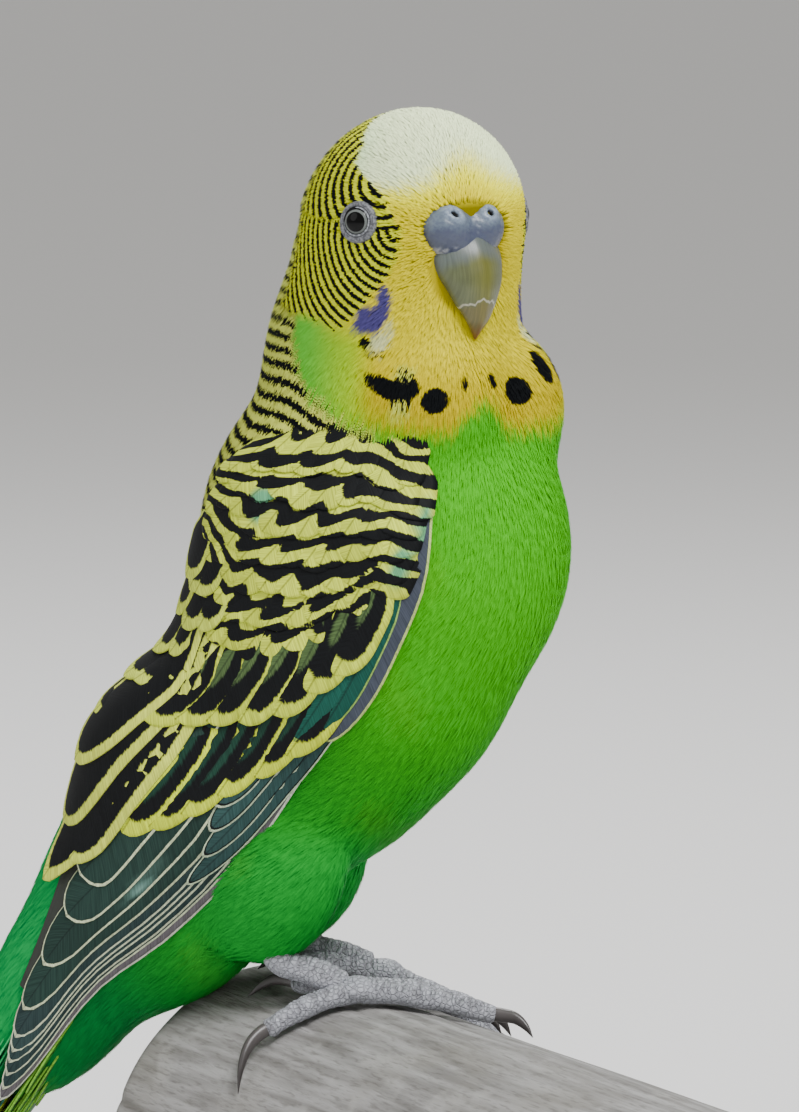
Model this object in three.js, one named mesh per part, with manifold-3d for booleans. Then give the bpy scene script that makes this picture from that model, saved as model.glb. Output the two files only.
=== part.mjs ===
// A budgerigar at life size, gripping a cut length of branch on a plain display stand.
// Millimetres, +Z up, the bird's body faces +X and its left side is towards +Y.
// The origin is the middle of the underside of the stand.

import * as THREE from 'three';
import { mergeVertices } from 'three/addons/utils/BufferGeometryUtils.js';
import Module from 'manifold-3d';

const wasm = await Module();
wasm.setup();

// Air left between two nodes that meet
const gap = 0.3;

// Stand: a round base and two rods in line under the branch
const baseRadius = 62;
const baseThickness = 10;
const baseChamfer = 1.2;
const rodRadius = 4;
const rodSpacing = 44;

// Branch: its radius, where its top is above the floor at the feet, and how it runs
const perchRadius = 25;
const perchTopHeight = 78;
const perchHeading = -40;
const perchDip = 6;
const perchReachNear = 88;
const perchReachFar = 19;
const perchEdge = 2.5;
const baseAlongPerch = 24;

// Head: its middle above the branch, and how far it is turned to the bird's right
const headMiddle = [8.5, 0, 97.5];
const headTurn = -45;
const eyeRadius = 2.5;
const eyeFromForward = 60;
const eyeRise = 2.3;
const eyeProud = 0.75;
const lidRadius = 2.2;
const lidThickness = 0.55;
const lidNarrowing = 0.94;

// Where the nodes part, counted in points of the spine
const headEnd = 1.95;
const neckEnd = 2.7;
const torsoEnd = 7.0;
const wingStart = 2.72;

// How softly the rounded masses of the body run into one another
const blend = 2;

// The middle line of the bird, from the crown down to the tip of the tail
const spinePoints = [
  [7.6, 0, 113.3],
  headMiddle,
  [8.6, 0, 81],
  [6.5, 0, 64],
  [0, 0, 45],
  [-10.5, 0, 27],
  [-22, 0, 13],
  [-33, 0, 2],
  [-44.5, 0, -15.5],
  [-57, 0, -35.5],
  [-70, 0, -55.5],
];

// Rounded masses: middle, then depth, half-width and half-length, lean forward and turn
const headMasses = [
  { at: headMiddle, size: [13.7, 13.3, 14.1], lean: 0, turn: headTurn },
  { at: [11.4, -1.8, 100.8], size: [11.8, 12, 12.1], lean: 0, turn: headTurn },
  { at: [9.3, -0.8, 88.5], size: [12.6, 13.6, 11], lean: 0, turn: headTurn },
];
const bodyMasses = [
  { at: [12, -6.2, 77], size: [10.6, 9, 10], lean: 0, turn: -30 },
  { at: [18.9, 2.4, 75.5], size: [9.8, 9.2, 10], lean: 0, turn: -30 },
  { at: [3.4, 0, 80], size: [13, 12.4, 17], lean: 0, turn: 0 },
  { at: [-1, 0, 61], size: [16.6, 14.8, 20], lean: 20, turn: 0 },
  { at: [10.4, 0, 56.5], size: [19.4, 16.8, 21.5], lean: 10, turn: 0 },
  { at: [1, 0, 43], size: [21.4, 16.4, 20.5], lean: 27, turn: 0 },
  { at: [1.8, 0, 27.6], size: [9.4, 11, 11.5], lean: 40, turn: 0 },
  { at: [-15.9, 0, 26.6], size: [17.8, 14.4, 20], lean: 38, turn: 0 },
  { at: [-23.8, 0, 12], size: [14.7, 10.9, 16], lean: 42, turn: 0 },
  { at: [-34.7, 0, 1.2], size: [10, 7.5, 19], lean: 33, turn: 0 },
];
// The tail's own sleeve, which the folded wings lie round below the rump
const tailSleeve = { at: [-45, 0, -14], size: [4.6, 6.2, 30], lean: 32, turn: 0 };
const thighMass = { at: [-6, 7.5, 14], size: [7.3, 6, 10.2], lean: 25, turn: 0 };

const vector = (x, y, z) => new THREE.Vector3(x, y, z);
const fromList = (list) => new THREE.Vector3(...list);
const radians = THREE.MathUtils.degToRad;
const lerp = THREE.MathUtils.lerp;

// Reads a value off a short profile of [place, value] pairs
function profileAt(profile, place) {
  const next = profile.findIndex((pair) => pair[0] >= place);
  if (next === 0) return profile[0][1];
  if (next < 0) return profile.at(-1)[1];
  const [before, low] = profile[next - 1];
  const [after, high] = profile[next];
  return lerp(low, high, (place - before) / (after - before));
}

// Joins and cuts

function solidOf(points, index) {
  let volume = 0;
  for (let corner = 0; corner < index.length; corner += 3) {
    const [a, b, c] = [0, 1, 2].map((step) => points[index[corner + step]]);
    volume += a.dot(vector().crossVectors(b, c));
  }
  const outward = volume > 0 ? index : [...index].reverse();
  const mesh = new wasm.Mesh({
    numProp: 3,
    vertProperties: new Float32Array(points.flatMap((point) => point.toArray())),
    triVerts: new Uint32Array(outward),
  });
  return new wasm.Manifold(mesh);
}

function solidFromGeometry(source) {
  const bare = source.clone();
  bare.deleteAttribute('normal');
  bare.deleteAttribute('uv');
  const merged = mergeVertices(bare, 1e-4);
  const place = merged.getAttribute('position');
  const points = Array.from({ length: place.count }, (_, at) => vector().fromBufferAttribute(place, at));
  return solidOf(points, Array.from(merged.getIndex().array));
}

function largestPiece(solid) {
  const pieces = solid.decompose();
  return pieces.reduce((best, piece) => (piece.volume() > best.volume() ? piece : best));
}

function joinAll(solids) {
  return solids.reduce((whole, piece) => whole.add(piece));
}

// Corners joined by a side shorter than this become one corner, so that crossings leave no sliver
const weldReach = 0.02;

function weldedTriangles(points, corners) {
  const leader = points.map((_, index) => index);
  const leaderOf = (index) => {
    let found = index;
    while (leader[found] !== found) found = leader[found];
    return found;
  };
  const triangles = [];
  for (let at = 0; at < corners.length; at += 3) triangles.push(corners.slice(at, at + 3));
  for (const [a, b, c] of triangles) {
    for (const [from, to] of [[a, b], [b, c], [c, a]]) {
      if (points[from].distanceTo(points[to]) < weldReach) leader[leaderOf(from)] = leaderOf(to);
    }
  }
  const kept = new Map();
  for (const triangle of triangles) {
    const welded = triangle.map(leaderOf);
    const key = [...welded].sort((a, b) => a - b).join(' ');
    if (new Set(welded).size < 3) continue;
    if (kept.has(key)) kept.delete(key);
    else kept.set(key, welded);
  }
  return [...kept.values()];
}

function geometryOf(solid) {
  const mesh = solid.getMesh();
  const source = new THREE.BufferAttribute(new Float32Array(mesh.vertProperties), 3);
  const points = Array.from({ length: source.count }, (_, at) => vector().fromBufferAttribute(source, at));
  const triangles = weldedTriangles(points, Array.from(mesh.triVerts));
  const geometry = new THREE.BufferGeometry().setFromPoints(triangles.flat().map((corner) => points[corner]));
  const merged = mergeVertices(geometry, 1e-6);
  merged.computeVertexNormals();
  return merged;
}

// A closed body round a row of rings, each end drawn together to a point. In a flat one, whose
// rings run along one face and back along the other, both faces are split alike.
function loft(rings, first, last, flat = false) {
  const count = rings[0].length;
  const points = [first, ...rings.flat(), last];
  const at = (ring, corner) => 1 + ring * count + (corner % count);
  const index = [];
  for (let corner = 0; corner < count; corner += 1) {
    index.push(0, at(0, corner + 1), at(0, corner));
    for (let ring = 0; ring + 1 < rings.length; ring += 1) {
      const near = [at(ring, corner), at(ring, corner + 1)];
      const far = [at(ring + 1, corner), at(ring + 1, corner + 1)];
      if (flat && corner >= count / 2) index.push(near[0], near[1], far[1], near[0], far[1], far[0]);
      else index.push(near[0], near[1], far[0], near[1], far[1], far[0]);
    }
    index.push(points.length - 1, at(rings.length - 1, corner), at(rings.length - 1, corner + 1));
  }
  return solidOf(points, index);
}

// A tapering rod along stations that give a middle, a half-width and a half-height
function taperedRod(stations, across, sides) {
  const rings = [];
  stations.forEach((station, index) => {
    if (station.width === 0) return;
    const before = stations[Math.max(index - 1, 0)].at;
    const after = stations[Math.min(index + 1, stations.length - 1)].at;
    const along = after.clone().sub(before).normalize();
    const upward = vector().crossVectors(along, across).normalize();
    const sideways = vector().crossVectors(upward, along).normalize();
    const ring = [];
    for (let side = 0; side < sides; side += 1) {
      const angle = (side / sides) * Math.PI * 2;
      ring.push(station.at.clone()
        .addScaledVector(sideways, Math.cos(angle) * station.width)
        .addScaledVector(upward, Math.sin(angle) * station.height));
    }
    rings.push(ring);
  });
  return loft(rings, stations[0].at, stations.at(-1).at);
}

// The body as one soft blend of its masses

function prepared(mass) {
  const turned = new THREE.Matrix4().makeRotationFromEuler(
    new THREE.Euler(0, radians(mass.lean), radians(mass.turn), 'ZYX'),
  );
  return {
    middle: fromList(mass.at),
    size: fromList(mass.size),
    toLocal: turned.clone().transpose(),
  };
}

function massDistance(mass, point) {
  const local = point.clone().sub(mass.middle).applyMatrix4(mass.toLocal);
  const scaled = local.clone().divide(mass.size);
  const steep = scaled.clone().divide(mass.size).length();
  const reach = scaled.length();
  return steep === 0 ? -mass.size.x : (reach * (reach - 1)) / steep;
}

function fleshDistance(masses, point) {
  let sum = 0;
  for (const mass of masses) sum += Math.exp(-massDistance(mass, point) / blend);
  return -blend * Math.log(sum);
}

const flesh = [...headMasses, ...bodyMasses].map(prepared);
const featherBed = [...headMasses, ...bodyMasses, tailSleeve].map(prepared);

// How far the flesh reaches from a point inside it
function reachFrom(masses, start, direction, grown = 0) {
  let inside = 0;
  let outside = 60;
  for (let step = 0; step < 26; step += 1) {
    const middle = (inside + outside) / 2;
    const point = start.clone().addScaledVector(direction, middle);
    if (fleshDistance(masses, point) < grown) inside = middle;
    else outside = middle;
  }
  return inside;
}

// The spine, with its back and left directions at any place along it

function spineAt(place) {
  const last = spinePoints.length - 1;
  const from = Math.min(Math.max(Math.floor(place), 0), last - 1);
  const t = place - from;
  const beyond = (end, inner) => fromList(spinePoints[end]).multiplyScalar(2)
    .sub(fromList(spinePoints[inner]));
  const knot = (index) => {
    if (index < 0) return beyond(0, 1);
    if (index > last) return beyond(last, last - 1);
    return fromList(spinePoints[index]);
  };
  const [a, b, c, d] = [from - 1, from, from + 1, from + 2].map(knot);
  const slopeIn = c.clone().sub(a).multiplyScalar(0.5);
  const slopeOut = d.clone().sub(b).multiplyScalar(0.5);
  const at = b.clone().multiplyScalar(2 * t ** 3 - 3 * t ** 2 + 1)
    .addScaledVector(slopeIn, t ** 3 - 2 * t ** 2 + t)
    .addScaledVector(c, -2 * t ** 3 + 3 * t ** 2)
    .addScaledVector(slopeOut, t ** 3 - t ** 2);
  const along = b.clone().multiplyScalar(6 * t ** 2 - 6 * t)
    .addScaledVector(slopeIn, 3 * t ** 2 - 4 * t + 1)
    .addScaledVector(c, 6 * t - 6 * t ** 2)
    .addScaledVector(slopeOut, 3 * t ** 2 - 2 * t);
  const length = along.length();
  along.normalize();
  const left = vector(0, 1, 0);
  const back = vector().crossVectors(left, along);
  return { at, along, left, back, length };
}

// A point over the flesh: place along the spine, angle from the left side towards the back,
// and height over the surface
function overFlesh(masses, place, angle, height) {
  const spine = spineAt(place);
  const direction = spine.left.clone().multiplyScalar(Math.cos(radians(angle)))
    .addScaledVector(spine.back, Math.sin(radians(angle)));
  const reach = reachFrom(masses, spine.at, direction);
  return spine.at.clone().addScaledVector(direction, reach + height);
}

// Corners in one ring of the body
const bodySides = 26;

function fleshRings(masses, places, sides, grown) {
  return places.map((place) => {
    const ring = [];
    for (let side = 0; side < sides; side += 1) {
      ring.push(overFlesh(masses, place, (side / sides) * 360, grown));
    }
    return ring;
  });
}

function evenPlaces(from, to, steps) {
  return Array.from({ length: steps + 1 }, (_, index) => lerp(from, to, index / steps));
}

const fleshBetween = (masses, from, to, steps, sides, grown = 0) => loft(
  fleshRings(masses, evenPlaces(from, to, steps), sides, grown),
  spineAt(from).at,
  spineAt(to).at,
);

// Directions of the turned head
const forward = vector(Math.cos(radians(headTurn)), Math.sin(radians(headTurn)), 0);
const leftward = vector(-forward.y, forward.x, 0);
const inHead = (ahead, aside, rise) => fromList(headMiddle)
  .addScaledVector(forward, ahead)
  .addScaledVector(leftward, aside)
  .add(vector(0, 0, rise));

// An ellipsoid set in the head's own directions
function headBall(middle, ahead, aside, rise, detail) {
  const geometry = new THREE.SphereGeometry(1, detail, Math.round(detail * 0.6));
  geometry.rotateX(Math.PI / 2);
  geometry.scale(ahead, aside, rise);
  geometry.rotateZ(radians(headTurn));
  geometry.translate(middle.x, middle.y, middle.z);
  return solidFromGeometry(geometry);
}

// Where the eye looks out of the head, and the middle of its ball
function eyePlace(side) {
  const angle = radians(eyeFromForward) * side;
  const outward = forward.clone().multiplyScalar(Math.cos(angle))
    .addScaledVector(leftward, Math.sin(angle));
  const start = fromList(headMiddle).add(vector(0, 0, eyeRise));
  const reach = reachFrom(flesh, start, outward);
  const surface = start.clone().addScaledVector(outward, reach);
  const middle = surface.clone().addScaledVector(outward, eyeProud - eyeRadius);
  return { outward, surface, middle };
}

function eyeBall(side, grown = 0) {
  const geometry = new THREE.SphereGeometry(eyeRadius + grown, 12, 8);
  const { middle } = eyePlace(side);
  geometry.translate(middle.x, middle.y, middle.z);
  return solidFromGeometry(geometry);
}

function eyelids(side) {
  const geometry = new THREE.TorusGeometry(lidRadius, lidThickness, 5, 14);
  geometry.scale(1, lidNarrowing, 1);
  const { outward, surface } = eyePlace(side);
  const turned = new THREE.Quaternion().setFromUnitVectors(vector(0, 0, 1), outward);
  geometry.applyQuaternion(turned);
  geometry.translate(surface.x, surface.y, surface.z);
  return solidFromGeometry(geometry);
}

// Two soft lobes over the bill, each with its nostril
const cereAhead = 12.6;
const cereAside = 2.6;
const cereShift = -0.6;
const cereRise = 1.2;
const cereSize = [3.7, 3.5, 3.4];
const nostrilAhead = 3.2;
const nostrilAside = 2.8;
const nostrilRise = 2.6;
const nostrilSize = [0.8, 0.62, 0.55];

function cereLobes(grown = 0) {
  const size = cereSize.map((radius) => radius + grown);
  const lobes = [1, -1].map((side) => headBall(
    inHead(cereAhead, cereShift + side * cereAside, cereRise), ...size, 10,
  ));
  return joinAll(lobes);
}

function cere() {
  const nostrils = [1, -1].map((side) => headBall(
    inHead(cereAhead + nostrilAhead, cereShift + side * nostrilAside, nostrilRise), ...nostrilSize, 6,
  ));
  return largestPiece(cereLobes().subtract(joinAll(nostrils)));
}

// The hooked upper bill runs from inside the face down to its tip
const upperBillPath = [
  { ahead: 8, rise: -1.5, width: 4.4, height: 3.6 },
  { ahead: 12, rise: -2.6, width: 4.7, height: 3.9 },
  { ahead: 14.4, rise: -5, width: 4.2, height: 3.2 },
  { ahead: 15.4, rise: -7.6, width: 3.1, height: 2.2 },
  { ahead: 15.8, rise: -9.8, width: 1.9, height: 1.3 },
  { ahead: 15.6, rise: -11.4, width: 0.8, height: 0.6 },
  { ahead: 15.3, rise: -12.6, width: 0, height: 0 },
];
const lowerBillPath = [
  { ahead: 6.5, rise: -7, width: 3, height: 2 },
  { ahead: 9.5, rise: -9.2, width: 2.9, height: 1.7 },
  { ahead: 11.8, rise: -10.6, width: 1.9, height: 1.2 },
  { ahead: 12.9, rise: -11.2, width: 0, height: 0 },
];

function bill(path, grown = 0) {
  const stations = path.map((part) => ({
    at: inHead(part.ahead, 0, part.rise),
    width: part.width + (part.width > 0 ? grown : 0),
    height: part.height + (part.width > 0 ? grown : 0),
  }));
  const end = stations.at(-1);
  if (grown > 0) end.at.add(vector(0, 0, -grown));
  return taperedRod(stations, leftward, 10);
}

function head() {
  const places = [
    ...[15, 30, 45, 60, 75, 90].map((angle) => 1 - Math.cos(radians(angle))),
    ...evenPlaces(1.18, headEnd, 5),
  ];
  const start = spineAt(1).at;
  const upward = spineAt(0).at.sub(start).normalize();
  const crown = start.clone().addScaledVector(upward, reachFrom(flesh, start, upward));
  const rings = fleshRings(flesh, places, bodySides, 0);
  let whole = loft(rings, crown, spineAt(headEnd).at);
  for (const side of [1, -1]) {
    whole = whole.add(eyelids(side)).subtract(eyeBall(side, gap));
  }
  whole = whole.subtract(cereLobes(gap))
    .subtract(bill(upperBillPath, gap))
    .subtract(bill(lowerBillPath, gap));
  return largestPiece(whole);
}

// Half the gap, in points of the spine, on each side of a parting
const partingStep = (place) => gap / spineAt(place).length / 2;

function neck() {
  return fleshBetween(flesh, headEnd + 2 * partingStep(headEnd), neckEnd, 3, bodySides);
}

// The vent is cut clear of the branch
function torso(grown = 0) {
  const from = neckEnd + (grown > 0 ? 0 : 2 * partingStep(neckEnd));
  return fleshBetween(flesh, from, torsoEnd, 15, bodySides, grown).subtract(perch(gap));
}

// Thighs lie half in the belly's side and are cut clear of it
function thigh(side) {
  const mass = prepared({ ...thighMass, at: thighMass.at.map((v, axis) => (axis === 1 ? v * side : v)) });
  const geometry = new THREE.SphereGeometry(1, 14, 8);
  geometry.rotateX(Math.PI / 2);
  geometry.scale(mass.size.x, mass.size.y, mass.size.z);
  geometry.applyMatrix4(mass.toLocal.clone().transpose());
  geometry.translate(mass.middle.x, mass.middle.y, mass.middle.z);
  return largestPiece(solidFromGeometry(geometry).subtract(torso(gap)));
}

// The branch

const perchAlong = vector(
  Math.cos(radians(perchHeading)) * Math.cos(radians(perchDip)),
  Math.sin(radians(perchHeading)) * Math.cos(radians(perchDip)),
  -Math.sin(radians(perchDip)),
);
const perchMiddle = vector(0, 0, -perchRadius / Math.cos(radians(perchDip)));

// A point on top of the branch over a place in plan, lifted square off its bark
function overPerch(x, y, lift) {
  const across = x * perchAlong.x + y * perchAlong.y;
  const square = 1 - perchAlong.z ** 2;
  const half = across * perchAlong.z;
  const rest = x ** 2 + y ** 2 - across ** 2 - perchRadius ** 2;
  const rise = (half + Math.sqrt(half ** 2 - square * rest)) / square;
  const bark = perchMiddle.clone().add(vector(x, y, rise));
  const fromMiddle = bark.clone().sub(perchMiddle);
  const outward = fromMiddle.addScaledVector(perchAlong, -fromMiddle.dot(perchAlong)).normalize();
  return bark.addScaledVector(outward, lift);
}

function perch(grown = 0) {
  const radius = perchRadius + grown;
  const near = perchReachNear + grown;
  const far = -perchReachFar - grown;
  const profile = [
    [0, far], [radius - perchEdge, far], [radius, far + perchEdge],
    [radius, near - perchEdge], [radius - perchEdge, near], [0, near],
  ];
  const geometry = new THREE.LatheGeometry(profile.map(([r, y]) => new THREE.Vector2(r, y)), 40);
  const turned = new THREE.Quaternion().setFromUnitVectors(vector(0, 1, 0), perchAlong);
  geometry.applyQuaternion(turned);
  geometry.translate(perchMiddle.x, perchMiddle.y, perchMiddle.z);
  return solidFromGeometry(geometry);
}

// Legs and feet: two toes forward and two back, each laid along the bark

const tarsusRadius = 1.75;
const toeRadius = 1.4;
const clawRadius = 0.75;
const clawLength = 4.6;
const palm = { x: 3.6, y: 7.5, lift: 2.3, size: [2.4, 2.3, 1.7] };
const toeSteps = 5;
const toeSides = 6;
const padSwell = 0.09;
// A toe's thickness at its root and at its end, as shares of its radius
const toeTaper = [1.1, 0.85];
// How far behind the palm's middle the leg comes down
const legBehindPalm = 1.5;
// Air between the sole and the bark
const soleLift = gap + 0.05;
// The ankle's way from the belly down to the palm, on the left side
const anklePath = [[-10.5, 8.4, 5.2], [-6.5, 8.2, 3.8], [-2, 7.8, 3]];
// A claw's stations: how far past the toe's end, how high over the bark, and how thick
const clawPath = [
  { reach: -1.2, lift: 1.5, radius: clawRadius },
  { reach: 1.2, lift: 1.9, radius: clawRadius },
  { reach: 0.7 * clawLength, lift: 1.5, radius: clawRadius * 0.6 },
  { reach: clawLength, lift: 0.6, radius: 0 },
];

const feet = {
  right: {
    side: -1,
    toes: [[22, -8.2], [16.2, -2.6], [-12.4, -14], [-8, -3.4]],
  },
  left: {
    side: 1,
    toes: [[21.5, 9.6], [15.5, 3.2], [-7.5, 13.4], [-8.6, 5.4]],
  },
};

function tarsus(side, grown = 0) {
  const ankle = anklePath.map(([x, y, z]) => vector(x, y * side, z));
  const radius = tarsusRadius + grown;
  const stations = [...ankle, overPerch(palm.x - legBehindPalm, palm.y * side, palm.lift)]
    .map((at) => ({ at, width: radius, height: radius }));
  return taperedRod(stations, vector(0, 1, 0), 10);
}

// A toe with its pads, then the claw that curls down off its end
function toe(foot, [tipX, tipY]) {
  const startX = palm.x;
  const startY = palm.y * foot.side;
  const length = Math.hypot(tipX - startX, tipY - startY);
  const across = vector(-(tipY - startY), tipX - startX, 0).normalize();
  const stations = evenPlaces(0, 1, toeSteps).map((t, index) => {
    const pad = 1 + padSwell * (index % 2 === 0 ? 1 : -1);
    const radius = toeRadius * pad * lerp(...toeTaper, t);
    return {
      at: overPerch(lerp(startX, tipX, t), lerp(startY, tipY, t), radius + soleLift),
      width: radius,
      height: radius,
    };
  });
  const claw = clawPath.map((part) => {
    const t = 1 + part.reach / length;
    return {
      at: overPerch(lerp(startX, tipX, t), lerp(startY, tipY, t), part.lift),
      width: part.radius,
      height: part.radius,
    };
  });
  return joinAll([taperedRod(stations, across, toeSides), taperedRod(claw, across, 5)]);
}

function foot(name) {
  const shape = feet[name];
  const ball = new THREE.SphereGeometry(1, 10, 6);
  ball.scale(...palm.size);
  const at = overPerch(palm.x, palm.y * shape.side, palm.size[2] + soleLift);
  ball.translate(at.x, at.y, at.z);
  const parts = [solidFromGeometry(ball), ...shape.toes.map((tip) => toe(shape, tip))];
  return largestPiece(joinAll(parts).subtract(tarsus(shape.side, gap)).subtract(torso(gap)));
}

// Folded wings, from the bend of the wing to the tip over the tail

const wingFront = [
  [2.72, -4], [2.9, -26], [3.2, -37], [3.5, -31], [4, -23], [4.5, -16], [5, -12],
];
const wingBack = [[2.72, 22], [3, 48], [3.5, 60], [4, 68], [5, 74]];
const wingDepth = [[2.72, 1.2], [3.1, 2.1], [4.4, 1.7], [5.2, 0.8]];
const wingCoreEnd = 5.2;
// The slab's depth at its edges as a share of its full depth, and where its rounding starts
const wingEdgeDepth = 0.35;
const wingEdgeShare = 0.06;
const vaneThickness = 0.5;
// How much higher a vane's front edge stands than its back edge, for each millimetre across
const vaneRoll = 0.26;
// The body's rough radius under the wings, as [place, radius]
const bedRadius = [[3, 18], [5, 16], [6, 12], [7, 8], [8, 6]];
// How far the seeded draw may move a tip, along the spine and round the body
const tipDraw = [0.06, 1.5];

// How wide a vane is along its length, as shares of its half-width
const vaneOutline = [[0, 0.55], [0.5, 0.95], [0.85, 0.95], [0.96, 0.6]];

// Rows of vanes on a wing, each from the vane nearest the front edge to the one nearest the back.
// Root and tip are places along the spine and angles round the body, and heights lie over the bed.
const wingRows = {
  primaries: {
    count: 6,
    front: { root: [4.5, -15], tip: [7.95, 3], halfWidth: 2.8 },
    back: { root: [4.9, 6], tip: [7.14, 38], halfWidth: 3.6 },
    heights: [0.9, 1.4],
  },
  secondaries: {
    count: 4,
    front: { root: [4.7, 16], tip: [6.95, 46], halfWidth: 3.8 },
    back: { root: [4.6, 42], tip: [6.4, 62], halfWidth: 4.2 },
    heights: [1.1, 1.9],
  },
  tertials: {
    count: 3,
    front: { root: [4.2, 52], tip: [6.62, 69], halfWidth: 4.4 },
    back: { root: [3.4, 54], tip: [5.3, 72], halfWidth: 5 },
    heights: [1.2, 2.1],
  },
  primaryCoverts: {
    count: 2,
    front: { root: [3.6, -24], tip: [4.9, -11], halfWidth: 2 },
    back: { root: [3.9, -16], tip: [5.15, -3], halfWidth: 2.4 },
    heights: [1.1, 2.1],
  },
  greaterCoverts: {
    count: 5,
    front: { root: [4.1, -10], tip: [5.05, 3], halfWidth: 4 },
    back: { root: [4.8, 40], tip: [6.15, 57], halfWidth: 4.8 },
    heights: [1.2, 2.8],
  },
  medianCoverts: {
    count: 4,
    front: { root: [3.7, -17], tip: [4.55, -7], halfWidth: 4.2 },
    back: { root: [4.3, 42], tip: [5.5, 60], halfWidth: 4.8 },
    heights: [1.2, 3],
  },
  lesserCoverts: {
    count: 3,
    front: { root: [3.1, -22], tip: [3.95, -14], halfWidth: 4.8 },
    back: { root: [3.6, 42], tip: [4.8, 58], halfWidth: 5.4 },
    heights: [1.2, 3.1],
  },
};

const sideAngle = (angle, side) => (side > 0 ? angle : 180 - angle);

// A small seeded draw, so that like vanes differ a little and always the same way
function seededDraw(seed) {
  let state = seed;
  return () => {
    state = (state * 16807) % 2147483647;
    return state / 2147483647 - 0.5;
  };
}

// The fleshy part of the wing, a curved slab that the vanes grow from
function wingCore(side) {
  const columns = 6;
  const rings = evenPlaces(wingStart, wingCoreEnd, 8).map((place) => {
    const front = profileAt(wingFront, place);
    const back = profileAt(wingBack, place);
    const depth = profileAt(wingDepth, place);
    const outer = [];
    const inner = [];
    for (let column = 0; column <= columns; column += 1) {
      const t = column / columns;
      const angle = sideAngle(lerp(front, back, t), side);
      const bulge = Math.sqrt(Math.sin(Math.PI * lerp(wingEdgeShare, 1 - wingEdgeShare, t)));
      const rounded = lerp(wingEdgeDepth, 1, bulge);
      outer.push(overFlesh(featherBed, place, angle, gap + depth * rounded));
      inner.push(overFlesh(featherBed, place, angle, 0));
    }
    return [...outer, ...inner.reverse()];
  });
  const middleOf = (ring) => ring.reduce((sum, point) => sum.add(point), vector()).divideScalar(ring.length);
  return loft(rings, middleOf(rings[0]), middleOf(rings.at(-1)), true);
}

// A vane that follows the bed, its front edge standing proud so that each laps over the next
function layVane({ root, tip, halfWidth, heights }, side) {
  const middle = (root[0] + tip[0]) / 2;
  const spine = spineAt(middle);
  const perAngle = radians(1) * profileAt(bedRadius, middle);
  const run = new THREE.Vector2((tip[0] - root[0]) * spine.length, (tip[1] - root[1]) * perAngle).normalize();
  const pointAt = (t, across, lift) => {
    const place = lerp(root[0], tip[0], t) - (run.y * across) / spine.length;
    const angle = lerp(root[1], tip[1], t) + (run.x * across) / perAngle;
    const height = lerp(heights[0], heights[1], t) - vaneRoll * across + lift;
    return overFlesh(featherBed, place, sideAngle(angle, side), height);
  };
  const rings = vaneOutline.map(([t, share]) => {
    const width = halfWidth * share;
    return [
      pointAt(t, -width, vaneThickness / 2),
      pointAt(t, width, vaneThickness / 2),
      pointAt(t, width, -vaneThickness / 2),
      pointAt(t, -width, -vaneThickness / 2),
    ];
  });
  return loft(rings, pointAt(0, 0, 0), pointAt(1, 0, 0), true);
}

function vaneRow({ count, front, back, heights }, draw) {
  return Array.from({ length: count }, (_, index) => {
    const t = count > 1 ? index / (count - 1) : 0;
    const between = (key) => front[key].map((value, axis) => lerp(value, back[key][axis], t));
    const [tipPlace, tipAngle] = between('tip');
    return {
      root: between('root'),
      tip: [tipPlace + tipDraw[0] * draw(), tipAngle + tipDraw[1] * draw()],
      halfWidth: lerp(front.halfWidth, back.halfWidth, t),
      heights,
    };
  });
}

function wing(side) {
  const draw = seededDraw(11);
  const vanes = Object.values(wingRows).flatMap((row) => vaneRow(row, draw));
  const whole = joinAll([wingCore(side), ...vanes.map((vane) => layVane(vane, side))]);
  return largestPiece(whole.subtract(torso(gap)).subtract(tail(gap)));
}

// The tail: coverts round its root, then six pairs of long feathers stacked under the middle pair
const tailStart = torsoEnd + 2 * partingStep(torsoEnd);
const tailRootEnd = 7.85;
const tailPairs = [
  { tip: 10, aside: 0.9 },
  { tip: 9.3, aside: 2.2 },
  { tip: 9, aside: 3.2 },
  { tip: 8.75, aside: 4 },
  { tip: 8.55, aside: 4.7 },
  { tip: 8.4, aside: 5.2 },
];
const tailHalfWidth = 2.2;
const tailStep = 0.62;
const tailRootPlace = 7.2;
// How far back the middle pair lies at root and tip, and how much lower each next pair starts
const tailBack = [1.5, 1.6];
const tailRootStep = 0.45;
// How much lower the left feather of a pair lies than the right one, halved
const tailSideStep = 0.12;
// How far the roots draw together, as shares of how far aside the tips lie
const tailGather = 0.3;
const tailCovertGather = 0.6;
const tailCovertTips = [[8.35, 1.6], [8.05, 4]];
const tailCovertRoot = 7.35;
const tailCovertHalfWidth = 2.4;
// How far towards the back the coverts lie at their root and tip, over and under the tail
const tailCovertRise = { over: [4.6, 2.9], under: [-5, -3.2] };

// A flat vane beside the tail's middle line: how far aside and how far towards the back it lies
function tailVane({ from, to, asideFrom, asideTo, backFrom, backTo, halfWidth }, grown) {
  const pointAt = (t, across, lift) => {
    const spine = spineAt(lerp(from, to, t));
    return spine.at.clone()
      .addScaledVector(spine.left, lerp(asideFrom, asideTo, t) + across)
      .addScaledVector(spine.back, lerp(backFrom, backTo, t) + lift);
  };
  const half = vaneThickness / 2 + grown;
  const rings = vaneOutline.map(([t, share]) => {
    const width = halfWidth * share + grown;
    return [[-width, half], [width, half], [width, -half], [-width, -half]]
      .map(([across, lift]) => pointAt(t, across, lift));
  });
  return loft(rings, pointAt(0, 0, 0), pointAt(1, 0, 0), true);
}

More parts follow.
